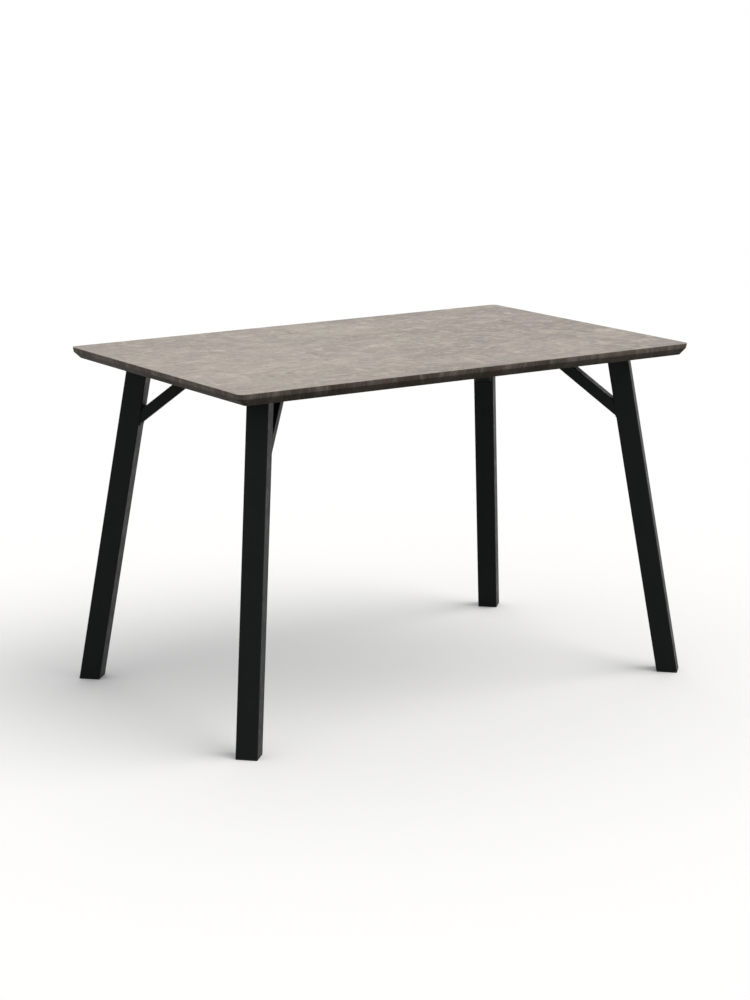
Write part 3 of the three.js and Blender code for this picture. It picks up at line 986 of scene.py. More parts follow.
@dataclass(frozen=True)
class Screw:
    """A screw driven upwards: its head hangs below z = 0 and its shank stands above it."""

    head: Head
    head_radius: float
    head_height: float
    shank_radius: float
    length: float
    drive_depth: float = 0.6  # a share of the head's height
    drive_reach: float = 0.5  # a share of the head's radius
    drive_slot: float = 0.11  # likewise

    def modelled(self) -> Workpiece:
        """Models the screw at the origin.

        Returns:
            The screw, as a pattern to copy.
        """
        sunk = self.head is Head.COUNTERSUNK
        body = self._countersunk() if sunk else self._raised()
        body.drilled(*self._drive(0.0 if sunk else -self.head_height))
        root = self.head_height * (0.5 if sunk else -0.1)  # a little inside the head
        shank = Workpiece.rod("shank", self.shank_radius, (0, 0, root), (0, 0, self.length), sides=16)
        shank.eased(self.shank_radius / 2, segments=1, test=above(self.length - MM))
        return body.fused(shank).shaded()

    def _raised(self) -> Workpiece:
        """Models a pan or button head.

        Returns:
            The head.
        """
        head = Workpiece.rod("screw_pattern", self.head_radius, (0, 0, -self.head_height), (0, 0, 0))
        over = self.head_height * self.head.value
        return head.eased(over, segments=4, test=below(NEAR - self.head_height))

    def _countersunk(self) -> Workpiece:
        """Models a flat head whose cone narrows upwards.

        Returns:
            The head.
        """
        head = Workpiece.rod("screw_pattern", self.head_radius, (0, 0, 0), (0, 0, self.head_height))
        narrow = self.shank_radius / self.head_radius
        with head.editing(Element.FACE):
            head.pick_faces(lambda middle, normal: normal.z > FLAT)
            bpy.ops.transform.resize(
                value=(narrow, narrow, 1.0), center_override=(0, 0, self.head_height)
            )
        return head

    def _drive(self, face: float) -> list[Workpiece]:
        """Models the cutters of a hexagon socket or a cross recess.

        Args:
            face: The height of the head's outer face.

        Returns:
            The cutters.
        """
        low, high = face - MM, face + self.head_height * self.drive_depth
        reach = self.head_radius * self.drive_reach
        if self.head is Head.BUTTON:
            return [Workpiece.rod("drive", reach, (0, 0, low), (0, 0, high), sides=6)]
        slot = self.head_radius * self.drive_slot
        return [
            Workpiece.block("drive", (-x, -y, low), (x, y, high))
            for x, y in ((reach, slot), (slot, reach))
        ]


STRAP_SCREW = Screw(Head.PAN, 5.5 * MM, 3 * MM, 2.5 * MM, 15.3 * MM)
BOARD_SCREW = Screw(Head.PAN, 3.8 * MM, 2.2 * MM, 1.9 * MM, 13 * MM)
RACK_SCREW = Screw(Head.PAN, 3.8 * MM, 2.2 * MM, 1.9 * MM, 11.5 * MM)
FLUSH_SCREW = Screw(Head.COUNTERSUNK, 3.0 * MM, 1.7 * MM, 1.5 * MM, 12 * MM)
HINGE_SCREW = Screw(Head.COUNTERSUNK, 2.6 * MM, 1.2 * MM, 1.2 * MM, 9 * MM)
FRAME_BOLT = Screw(Head.BUTTON, 4.75 * MM, 2.7 * MM, 2.5 * MM, 8.6 * MM)
HEAD_PROUD = 0.08 * MM  # how far a countersunk head stands out of its plate
SCREW_TURN = 0.7  # radians that each screw of a row is turned further than the last


class ScrewBox:
    """Hands out copies of each kind of screw, modelled once."""

    def __init__(self) -> None:
        """Starts with an empty box."""
        self.patterns: dict[Screw, Workpiece] = {}

    def take(self, screw: Screw, name: str, matrix: Matrix) -> Workpiece:
        """Copies a screw.

        Args:
            screw: The kind of screw.
            name: The name of the copy.
            matrix: Its place.

        Returns:
            The copy.
        """
        if screw not in self.patterns:
            self.patterns[screw] = screw.modelled()
        return self.patterns[screw].copied(name).placed(matrix)

    def row(self, screw: Screw, name: str, places: Sequence[Point], upside: bool = False) -> Workpiece:
        """Makes one piece of several screws.

        Args:
            screw: The kind of screw.
            name: The name of the piece.
            places: Where each head's seat is.
            upside: Drives the screws downwards.

        Returns:
            The joined screws, in plated steel.
        """
        flip = Matrix.Rotation(math.pi if upside else 0.0, 4, "X")
        first, *others = [
            self.take(
                screw,
                name,
                Matrix.Translation(place) @ flip @ Matrix.Rotation(SCREW_TURN * number, 4, "Z"),
            )
            for number, place in enumerate(places)
        ]
        return first.with_loose(*others).dressed(ZINC)

    def emptied(self) -> None:
        """Removes the patterns."""
        for pattern in self.patterns.values():
            pattern.scrapped()


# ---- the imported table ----


@dataclass(frozen=True)
class Corner:
    """One corner of the table, seen from its front."""

    name: str
    side_x: int
    side_y: int


CORNERS = (
    Corner("front_left", -1, -1),
    Corner("front_right", 1, -1),
    Corner("rear_left", -1, 1),
    Corner("rear_right", 1, 1),
)
HALVES = (("left", -1), ("right", 1))
DOWELS = ("dowel_1", "dowel_2", "dowel_3")


class PackedTable:
    """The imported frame, and the sizes that every sub-assembly reads from it."""

    def __init__(self) -> None:
        """Loads the frame and measures it."""
        self.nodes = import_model()["nodes"]
        self.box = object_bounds()
        low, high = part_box("top_half_right")
        self.half_length = high.x
        self.half_width = high.y
        self.height = high.z
        self.underside = low.z
        self.seam_half_gap = low.x
        self.board_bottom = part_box("rail_front_right")[1].z  # the rails lie against the boards

    def body(self, node: str) -> str:
        """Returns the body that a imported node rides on."""
        return self.nodes[node]["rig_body"]


@dataclass
class Assembly:
    """A sub-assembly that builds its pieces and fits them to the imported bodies."""

    table: PackedTable
    screws: ScrewBox

    def copy_of(self, name: str, node: str) -> Workpiece:
        """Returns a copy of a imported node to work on."""
        return Workpiece.of_node(name, self.table.nodes[node])

    def fit(self, work: Workpiece, node: str, *replaced: str) -> None:
        """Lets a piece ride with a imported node.

        Args:
            work: The finished piece.
            node: The node whose body it rides on.
            *replaced: Nodes that it stands for.
        """
        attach(work.obj, self.table.body(node))
        if replaced:
            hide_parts(*replaced)
        log.info("%s rides on %s", work.obj.name, self.table.body(node))

    def stand_in(self, work: Workpiece, finish: Finish, node: str) -> None:
        """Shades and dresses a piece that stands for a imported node."""
        self.fit(work.shaded().dressed(finish), node, node)

    def refine(self, name: str, node: str, finish: Finish, easing: float) -> None:
        """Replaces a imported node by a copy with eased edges."""
        self.stand_in(self.copy_of(name, node).eased(easing), finish, node)

    def screw_on(
        self, node: str, screw: Screw, name: str, places: Sequence[Point], upside: bool = False
    ) -> None:
        """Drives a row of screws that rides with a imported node."""
        self.fit(self.screws.row(screw, name, places, upside), node)


# ---- the top ----


@dataclass(frozen=True)
class EdgeProfile:
    """Edge of a board: an upper band that leans in a little, and an undercut below it."""

    band_height: float = 11 * MM
    band_lean: float = 1.5 * MM
    end_undercut: float = 18 * MM
    side_undercut: float = 10 * MM


@dataclass(frozen=True)
class LegPlan:
    """Sizes of a leg, in its own upright plane: X runs out along the diagonal of the table."""

    table: PackedTable
    from_end: float = 118 * MM
    from_side: float = 115 * MM
    reach: float = 134 * MM
    section: float = 48 * MM
    wall: float = 2 * MM
    corner: float = 3 * MM
    brace_depth: float = 25 * MM
    brace_width: float = 40 * MM
    brace_corner: float = 2.5 * MM
    brace_angle: float = math.radians(38.5)
    brace_drop: float = 128 * MM
    overhang: float = 24 * MM

    @property
    def splay(self) -> float:
        """Returns how far the leg leans out."""
        return math.atan2(self.reach, self.table.underside)

    @property
    def half_cut(self) -> float:
        """Returns half the leg's level cut, along the diagonal."""
        return self.section / 2 / math.cos(self.splay)

    @property
    def brace_foot(self) -> tuple[float, float, float]:
        """Returns where the middle of the brace meets the leg's inner face."""
        height = self.table.underside - self.brace_drop
        return -self.half_cut + self.reach * (1 - height / self.table.underside), 0.0, height

    @property
    def strap_bottom(self) -> float:
        """Returns the height of the strap's lower face."""
        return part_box("strap_front_right")[0].z

    def brace_top_x(self, edge: int) -> float:
        """Works out where an edge of the brace reaches the strap.

        Args:
            edge: 1 for the upper edge, and -1 for the lower one.

        Returns:
            The place along X.
        """
        foot_x, _, foot_height = self.brace_foot
        half = self.brace_depth / 2 / math.cos(self.brace_angle)
        rise = self.strap_bottom - foot_height - edge * half
        return foot_x - rise / math.tan(self.brace_angle)

    def screw_places(self) -> tuple[float, float, float]:
        """Works out where the strap's screws are.

        Returns:
            Their places along X, from the outermost to the innermost.
        """
        outer = self.half_cut + self.overhang / 2
        between = (self.brace_top_x(1) - self.half_cut) / 2
        inner = self.brace_top_x(-1) - self.overhang / 2
        return outer, between, inner

    def at_corner(self, corner: Corner) -> Matrix:
        """Works out the place of a leg's own plane.

        Args:
            corner: The corner of the table that the leg is at.

        Returns:
            A matrix from the plane to the table.
        """
        x = corner.side_x * (self.table.half_length - self.from_end)
        y = corner.side_y * (self.table.half_width - self.from_side)
        turn = math.atan2(corner.side_y, corner.side_x)
        return Matrix.Translation((x, y, 0.0)) @ Matrix.Rotation(turn, 4, "Z")


@dataclass
class TableTop(Assembly):
    """The two halves of the top, with their undercut edge, and the dowels between them."""

    legs: LegPlan
    edge: EdgeProfile = EdgeProfile()
    corner_radius: float = 15 * MM
    corner_steps: int = 18
    top_easing: float = 0.8 * MM
    edge_easing: float = 0.4 * MM
    rim: float = 60 * MM
    recess_radius: float = 6 * MM
    dowel_radius: float = 4 * MM
    dowel_play: float = 0.2 * MM
    dowel_chamfer: float = 0.8 * MM
    pilot_radius: float = 2.8 * MM
    pilot_depth: float = 10.3 * MM
    overshoot: float = 5 * MM

    def build(self) -> None:
        """Models the whole top, saws it in two and fits the halves and dowels."""
        whole = self._panel()
        for side, sign in HALVES:
            self._split(whole.copied(f"table_top_{side}"), side, sign)
        whole.scrapped()
        for node in DOWELS:
            self._dowel(node)

    def _panel(self) -> Workpiece:
        """Models the top in one piece: outline, lean and undercut of the edge, and recess.

        Returns:
            The top.
        """
        table, edge = self.table, self.edge
        long, wide, top = table.half_length, table.half_width, table.height
        foot = top - edge.band_height
        panel = Workpiece.block("panel", (-long, -wide, foot), (long, wide, top))
        panel.eased(self.corner_radius, self.corner_steps, longer("z", edge.band_height / 2))
        with panel.editing(Element.FACE):
            panel.pick_faces(lambda middle, normal: normal.z < -FLAT)
            bpy.ops.transform.resize(
                value=(1 - edge.band_lean / long, 1 - edge.band_lean / wide, 1.0),
                center_override=(0, 0, foot),
            )
            bpy.ops.mesh.inset(
                thickness=edge.side_undercut - edge.band_lean,
                depth=foot - table.underside,
                use_even_offset=True,
            )
            bpy.ops.transform.resize(
                value=((long - edge.end_undercut) / (long - edge.side_undercut), 1.0, 1.0),
                center_override=(0, 0, table.underside),
            )
        panel.eased(self.top_easing, segments=3, test=above(top - NEAR), clamp=False)
        panel.eased(
            self.edge_easing,
            test=lambda a, b: max(a.z, b.z) < foot + NEAR and abs(a.z - b.z) < MM,
            least_angle=PROFILE_ANGLE,
            clamp=False,
        )
        return panel.drilled(self._recess())

    def _recess(self) -> Workpiece:
        """Models the cutter of the recess inside the rim.

        Returns:
            The cutter.
        """
        long, wide = self.table.half_length - self.rim, self.table.half_width - self.rim
        low = self.table.underside - self.overshoot
        cutter = Workpiece.block("recess", (-long, -wide, low), (long, wide, self.table.board_bottom))
        return cutter.eased(self.recess_radius, segments=6, test=longer("z", self.overshoot))

    def _split(self, half: Workpiece, side: str, sign: int) -> None:
        """Saws one half out of the whole top, drills it and gives it its finishes.

        Args:
            half: A copy of the whole top.
            side: The half's name.
            sign: The side of the seam that it is on.
        """
        table = self.table
        half.trimmed((sign * table.seam_half_gap, 0, 0), (-sign, 0, 0))
        half.drilled(*self._dowel_drills(sign), *self._pilot_drills(sign))
        top, bottom, recess = table.height, table.underside, table.board_bottom

        def inside(middle: Vector, margin: float) -> bool:
            """Tells whether a point is further inside the outline than a margin."""
            long, wide = table.half_length - margin, table.half_width - margin
            return abs(middle.x) < long and abs(middle.y) < wide

        half.shaded().dressed(
            EDGING,
            (LAMINATE, lambda middle, normal: normal.z > LOOKS_UP and middle.z > top - MM),
            # the undercut, facing down, gets the darker copy of the edge decor: painted shade
            (UNDERCUT_PAINTED_SHADE, lambda middle, normal: -FLAT < normal.z < UNDERCUT_TILT),
            (BACKING, lambda middle, normal: normal.z < -FLAT and middle.z < recess + NEAR),
            (
                BACKING,
                lambda middle, normal: bottom < middle.z < recess
                and abs(middle.x) > MM
                and inside(middle, self.rim - NEAR),
            ),
            (
                CORE,
                lambda middle, normal: recess + NEAR < middle.z < top - MM
                and abs(middle.x) > NEAR
                and inside(middle, 2 * self.corner_radius),
            ),
        )
        self.fit(half, f"top_half_{side}", f"top_half_{side}")

    def _dowel_drills(self, sign: int) -> list[Workpiece]:
        """Models the drills of one half's dowel holes.

        Args:
            sign: The side of the seam that the half is on.

        Returns:
            The drills.
        """
        drills = []
        for node in DOWELS:
            low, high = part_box(node)
            start, end = (low + high) / 2, (low + high) / 2
            start.x = -sign * self.overshoot
            end.x = sign * (-low.x + self.dowel_play)
            drills.append(Workpiece.rod("drill", self.dowel_radius + self.dowel_play, start, end))
        return drills

    def _pilot_drills(self, sign: int) -> list[Workpiece]:
        """Models the drills of one half's pilot holes, where the straps are screwed on.

        Args:
            sign: The side of the seam that the half is on.

        Returns:
            The drills.
        """
        bottom = self.table.board_bottom
        heights = bottom - self.overshoot, bottom + self.pilot_depth
        drills = []
        for corner in CORNERS:
            if corner.side_x != sign:
                continue
            place = self.legs.at_corner(corner)
            for reach in self.legs.screw_places():
                low, high = (place @ Vector((reach, 0, height)) for height in heights)
                drills.append(Workpiece.rod("drill", self.pilot_radius, low, high, sides=12))
        return drills

    def _dowel(self, node: str) -> None:
        """Models a dowel with chamfered ends.

        Args:
            node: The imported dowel.
        """
        low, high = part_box(node)
        start, end = (low + high) / 2, (low + high) / 2
        start.x, end.x = low.x, high.x
        dowel = Workpiece.rod(f"alignment_{node}", self.dowel_radius, start, end, sides=28)
        self.stand_in(dowel.eased(self.dowel_chamfer), BEECH, node)


# ---- legs ----


@dataclass
class Leg(Assembly):
    """A leaning square tube with its knee brace, welds, strap, strap screws and glide."""

    plan: LegPlan
    corner: Corner
    seat: float = 0.3 * MM
    tube_easing: float = 0.3 * MM
    bend_steps: int = 5
    strap_corner: float = 4 * MM
    strap_easing: float = 0.4 * MM
    screw_hole: float = 2.8 * MM
    screw_turn: float = 0.9
    glide_plug: float = 22 * MM
    glide_play: float = 0.3 * MM
    glide_easing: float = 0.6 * MM
    rib_depth: float = MM
    rib_easing: float = 0.4 * MM
    bead_radius: float = 2.2 * MM
    bead_pitch: float = 1.6 * MM
    bead_swell: float = 1.14
    bead_taper: float = 0.35

    @property
    def tube_end(self) -> float:
        """Returns the height of the tube's lower end."""
        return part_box(f"leg_{self.corner.name}")[0].z

    def build(self) -> None:
        """Builds every piece of the leg."""
        self._tube()
        self._brace()
        self._strap()
        self._glide()
        self._welds()
        for number, reach in enumerate(self.plan.screw_places(), start=1):
            self._strap_screw(number, reach)

    def _place(self, work: Workpiece, finish: Finish, node: str, *replaced: str) -> None:
        """Turns a piece to the leg's corner, finishes it and lets it ride with a node."""
        work.placed(self.plan.at_corner(self.corner)).shaded().dressed(finish)
        self.fit(work, node, *replaced)

    def _bar(self, name: str, low: float, high: float, inset: float, corner: float) -> Workpiece:
        """Models a bar that leans like the leg and is cut level at both ends.

        Args:
            name: Its name.
            low: The height of its lower cut.
            high: The height of its upper cut.
            inset: How far its faces are inside those of the leg.
            corner: The radius of its four long edges.

        Returns:
            The bar.
        """
        half = self.plan.section / 2 - inset
        underside = self.table.underside
        length = underside / math.cos(self.plan.splay)
        bar = Workpiece.block(name, (-half, -half, -length - half), (half, half, half * 2))
        bar.eased(corner, self.bend_steps, longer("z", length / 2))
        lean = Matrix.Rotation(-self.plan.splay, 4, "Y")
        bar.placed(Matrix.Translation((0, 0, underside)) @ lean)
        return bar.trimmed((0, 0, low), (0, 0, -1)).trimmed((0, 0, high), (0, 0, 1))

    def _tube(self) -> None:
        """Builds the leg's tube between its glide and its strap."""
        node = f"leg_{self.corner.name}"
        top = self.plan.strap_bottom
        tube = self._bar(f"leg_tube_{self.corner.name}", self.tube_end, top, 0.0, self.plan.corner)
        tube.hollowed(self.plan.wall, lambda middle, normal: abs(normal.z) > FLAT)
        tube.eased(self.tube_easing, segments=1, test=below(self.tube_end + NEAR))
        self._place(tube, BLACK_STEEL, node, node)

    def _brace(self) -> None:
        """Builds the brace from the leg's inner face up to the strap."""
        node = f"brace_{self.corner.name}"
        plan = self.plan
        deep, half = plan.brace_depth / 2, plan.brace_width / 2
        length = 4 * plan.brace_drop
        bar = Workpiece.block(f"knee_{node}", (-length, -half, -deep), (length / 2, half, deep))
        bar.eased(plan.brace_corner, self.bend_steps, longer("x", length))
        bar.placed(Matrix.Translation(plan.brace_foot) @ Matrix.Rotation(plan.brace_angle, 4, "Y"))
        into_leg = Vector((math.cos(plan.splay), 0, math.sin(plan.splay)))
        bar.trimmed(plan.brace_foot, into_leg).trimmed((0, 0, plan.strap_bottom), (0, 0, 1))
        bar.hollowed(plan.wall, lambda middle, normal: normal.z > FLAT or normal.dot(into_leg) > FLAT)
        self._place(bar, BLACK_STEEL, node, node)

    def _strap(self) -> None:
        """Builds the steel flat that carries the leg and the brace."""
        node = f"strap_{self.corner.name}"
        plan = self.plan
        low, high = (corner.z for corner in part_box(node))
        inner, outer = plan.brace_top_x(-1) - plan.overhang, plan.half_cut + plan.overhang
        half = plan.section / 2
        strap = Workpiece.block(f"mounting_{node}", (inner, -half, low), (outer, half, high))
        strap.eased(self.strap_corner, self.bend_steps, longer("z", MM))
        for x in plan.screw_places():
            strap.drilled(
                Workpiece.rod("drill", self.screw_hole, (x, 0, low - MM), (x, 0, high + MM), sides=16)
            )
        self._place(strap.eased(self.strap_easing), BLACK_STEEL, node, node)

    def _glide(self) -> None:
        """Builds the glide: a foot under the tube and a ribbed plug inside it."""
        node = f"glide_{self.corner.name}"
        plan = self.plan
        top = self.tube_end - self.seat
        foot = self._bar(f"foot_{node}", 0.0, top, 0.0, plan.corner)
        foot.eased(self.glide_easing, segments=3, test=below(NEAR))
        inset, corner = plan.wall + self.glide_play, plan.corner / 2
        core = self._bar("plug", top / 2, top + self.glide_plug, inset + self.rib_depth, corner)
        foot.fused(core.eased(self.glide_easing))
        for quarter in (1, 2, 3):
            middle = top + quarter * self.glide_plug / 4
            rib = self._bar("rib", middle - MM, middle + MM, inset, corner)
            foot.fused(rib.eased(self.rib_easing))
        self._place(foot, BLACK_PLASTIC, node, node)

    def _bead(self, start: Vector, end: Vector) -> Workpiece:
        """Lays one rippled weld bead.

        Args:
            start: The point that it starts at.
            end: The point that it ends at.

        Returns:
            The bead.
        """
        length = (end - start).length
        bead = Workpiece.rod("bead", self.bead_radius, (0, 0, 0), (length, 0, 0), sides=10)
        rings = 2 * round(length / self.bead_pitch / 2) - 1
        step = length / (rings + 1)
        with bead.editing(Element.EDGE):
            bead.pick_edges(longer("x", length / 2), 0.0)
            bpy.ops.mesh.subdivide(number_cuts=rings)
        with bead.editing(Element.VERTEX):
            for test, size in (
                (lambda at: round(at.x / step) % 2 == 1, self.bead_swell),
                (lambda at: at.x < step / 2 or at.x > length - step / 2, self.bead_taper),
            ):
                bead.pick_vertices(test)
                bpy.ops.transform.resize(value=(1.0, size, size), center_override=(0, 0, 0))
        turn = (end - start).to_track_quat("X", "Z").to_matrix().to_4x4()
        return bead.placed(Matrix.Translation(start) @ turn)

    def _welds(self) -> None:
        """Lays the beads round the tops of leg and brace, and round the brace's foot."""
        plan = self.plan
        under = plan.strap_bottom
        runs: list[tuple[Point, Point]] = []
        for near, far, side in (
            (-plan.half_cut, plan.half_cut, plan.section / 2),
            (plan.brace_top_x(-1), plan.brace_top_x(1), plan.brace_width / 2),
        ):
            short = side - plan.corner
            near_side, far_side = near + plan.corner, far - plan.corner
            runs += [((x, -short, under), (x, short, under)) for x in (near, far)]
            runs += [((near_side, y, under), (far_side, y, under)) for y in (-side, side)]
        spread = plan.brace_depth / 2 / math.cos(plan.brace_angle + plan.splay)
        down_leg = Vector((math.sin(plan.splay), 0, -math.cos(plan.splay)))
        across = Vector((0, plan.brace_width / 2, 0))
        shorter = 1 - plan.brace_corner / across.y
        ends = [Vector(plan.brace_foot) + down_leg * spread * edge for edge in (-1, 1)]
        runs += [(end - across * shorter, end + across * shorter) for end in ends]
        along = (ends[1] - ends[0]) * (plan.brace_corner / spread / 2)
        runs += [(ends[0] + along + y, ends[1] - along + y) for y in (-across, across)]
        first, *others = [self._bead(Vector(a), Vector(b)) for a, b in runs]
        welds = first.with_loose(*others).named(f"weld_beads_{self.corner.name}")
        self._place(welds, BLACK_STEEL, f"leg_{self.corner.name}")

    def _strap_screw(self, number: int, reach: float) -> None:
        """Drives one screw through the strap into the board.

        Args:
            number: The screw's number.
            reach: Its place along the strap.
        """
        node = f"strap_screw_{self.corner.name}_{number}"
        seat = Vector((reach, 0, self.plan.strap_bottom - self.seat))
        place = self.plan.at_corner(self.corner) @ Matrix.Translation(seat)
        turn = Matrix.Rotation(self.screw_turn * number * self.corner.side_x, 4, "Z")
        screw = self.screws.take(STRAP_SCREW, f"pan_head_{node}", place @ turn)
        self.fit(screw.dressed(ZINC), node, node)


# ---- slide frame ----


@dataclass
class SlideFrame(Assembly):
    """The centre beams, the rails of both halves, and the cranked bars that carry the leaf."""

    beam_easing: float = 0.3 * MM
    rail_easing: float = 0.25 * MM
    rail_screws: int = 4
    rail_end: float = 30 * MM
    flange: float = 12 * MM
    web: float = 3 * MM
    bar_inner_bend: float = 1.5 * MM
    bar_outer_bend: float = 4 * MM
    bar_easing: float = 0.4 * MM
    bolt_spread: float = 8 * MM
    beam_middle: float = 10 * MM

    def build(self) -> None:
        """Builds beams, rails and tray bars with their fasteners."""
        for row in ("front", "rear"):
            self.refine(f"centre_beam_{row}", f"beam_{row}", ALUMINIUM, self.beam_easing)
        for corner in CORNERS:
            self._rail(corner)
        for place in ("left", "centre", "right"):
            self._tray_bar(f"tray_bar_{place}")

    def _rail(self, corner: Corner) -> None:
        """Builds a rail and its row of screws.

        Args:
            corner: The corner of the table that it points to.
        """
        node = f"rail_{corner.name}"
        self.refine(f"slide_{node}", node, ZINC, self.rail_easing)
        low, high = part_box(node)
        y = (low.y if corner.side_y < 0 else high.y) - corner.side_y * self.flange / 2
        first, last = low.x + self.rail_end, high.x - self.rail_end
        pitch = (last - first) / (self.rail_screws - 1)
        seat = self.table.board_bottom - self.web
        places = [(first + i * pitch, y, seat) for i in range(self.rail_screws)]
        self.screw_on(node, BOARD_SCREW, f"rail_screws_{corner.name}", places)

    def _tray_bar(self, node: str) -> None:
        """Builds a cranked bar with bend radii, and the bolts that hold it to the beams.

        Args:
            node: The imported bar.
        """
        low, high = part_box(node)
        beam_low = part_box("beam_front")[0].z
        # The housing ends under the bar, and the bolt goes up through it to just below its upper face.
        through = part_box("pinion_axle")[1].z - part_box("pinion_housing")[1].z
        thick = round(through / MM) * MM

        def on_crank(*heights: float) -> EdgeTest:
            """Finds the edges along X at the crank.

            Args:
                *heights: The heights that they are at.

            Returns:
                A test for them.
            """
            return lambda a, b: (
                abs(a.z - b.z) < NEAR
                and abs(a.y - b.y) < NEAR
                and abs(a.y) < high.y - 2 * MM
                and any(abs(a.z - z) < 2 * NEAR for z in heights)
            )

        bar = self.copy_of(f"leaf_{node}", node)
        bends = (
            (self.bar_outer_bend, 5, on_crank(low.z, beam_low)),
            (self.bar_inner_bend, 4, on_crank(low.z + thick, beam_low - thick)),
        )
        for width, facets, test in bends:
            bar.eased(width, facets, test, clamp=False)
        self.stand_in(bar.eased(self.bar_easing, least_angle=SHEET_ANGLE), BLACK_STEEL, node)
        x, y = (low.x + high.x) / 2, high.y - self.beam_middle
        seats = [
            (x + dx * self.bolt_spread, sign * y, beam_low - thick)
            for sign in (-1, 1)
            for dx in (-1, 1)
        ]
        self.screw_on(node, FRAME_BOLT, f"{node}_bolts", seats)


@dataclass
class Equaliser(Assembly):
    """The racks, their brackets, the pinion, its shoulder bolt and its housing."""

    sheet: float = 3 * MM
    inner_bend: float = 1.5 * MM
    outer_bend: float = 4.5 * MM
    channel_bend: float = 2.4 * MM
    channel_easing: float = 0.2 * MM
    bracket_easing: float = 0.3 * MM
    tooth_easing: float = 0.2 * MM
    bolt_easing: float = 0.4 * MM
    foot_screw_start: float = 12 * MM
    foot_screw_end: float = 9 * MM
    lap_screws: tuple[float, float] = (8 * MM, 23 * MM)

    def build(self) -> None:
        """Builds the gearing and its brackets."""
        self.refine("equaliser_pinion", "pinion", NYLON, self.tooth_easing)
        self.refine("pinion_shoulder_bolt", "pinion_axle", ZINC, self.bolt_easing)
        self._housing("pinion_housing")
        for side, sign in HALVES:
            self.refine(f"slide_rack_{side}", f"rack_{side}", NYLON, self.tooth_easing)
            self._bracket(side, sign)

    def _housing(self, node: str) -> None:
        """Builds the folded channel round the pinion.

        Args:
            node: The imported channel.
        """
        low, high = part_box(node)
        housing = self.copy_of("pinion_cradle", node)
        housing.eased(
            self.channel_bend,
            segments=4,
            test=lambda a, b: abs(a.x - b.x) > MM
            and max(a.z, b.z) < low.z + NEAR
            and abs(a.y) > high.y - NEAR,
        )
        housing.eased(self.channel_easing, segments=1, least_angle=SHEET_ANGLE)
        self.stand_in(housing, ZINC, node)

    def _bracket(self, side: str, sign: int) -> None:
        """Builds the bent strip between a rack and its half of the top, with its screws.

        Args:
            side: The name of the half.
            sign: The direction along X that the half is in.
        """
        node = f"rack_bracket_{side}"
        low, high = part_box(node)
        rack_end = abs(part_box(f"rack_{side}")[0 if sign < 0 else 1].x)

        def bend(x: float, z: float) -> EdgeTest:
            """Returns a test for the edges across the strip at a bend."""
            off = 2 * NEAR
            return lambda a, b: abs(a.y - b.y) > MM and abs(abs(a.x) - x) < off and abs(a.z - z) < off

        bracket = self.copy_of(f"folded_{node}", node)
        inner_x = rack_end - self.sheet
        for width, facets, x, z in (
            (self.outer_bend, 6, rack_end, low.z),
            (self.outer_bend, 6, inner_x, high.z),
            (self.inner_bend, 4, inner_x, low.z + self.sheet),
            (self.inner_bend, 4, rack_end, high.z - self.sheet),
        ):
            bracket.eased(width, facets, bend(x, z))
        self.stand_in(bracket.eased(self.bracket_easing, least_angle=SHEET_ANGLE), ZINC, node)

        y = (low.y + high.y) / 2
        lap_start, foot_end = sorted((abs(low.x), abs(high.x)))
        foot = [
            (sign * x, y, high.z - self.sheet)
            for x in (rack_end + self.foot_screw_start, foot_end - self.foot_screw_end)
        ]
        self.screw_on(node, BOARD_SCREW, f"{node}_screws", foot)
        lap = [(sign * (lap_start + x), y, low.z + self.sheet) for x in self.lap_screws]
        self.screw_on(node, RACK_SCREW, f"rack_screws_{side}", lap, upside=True)


# ---- the stored leaf ----


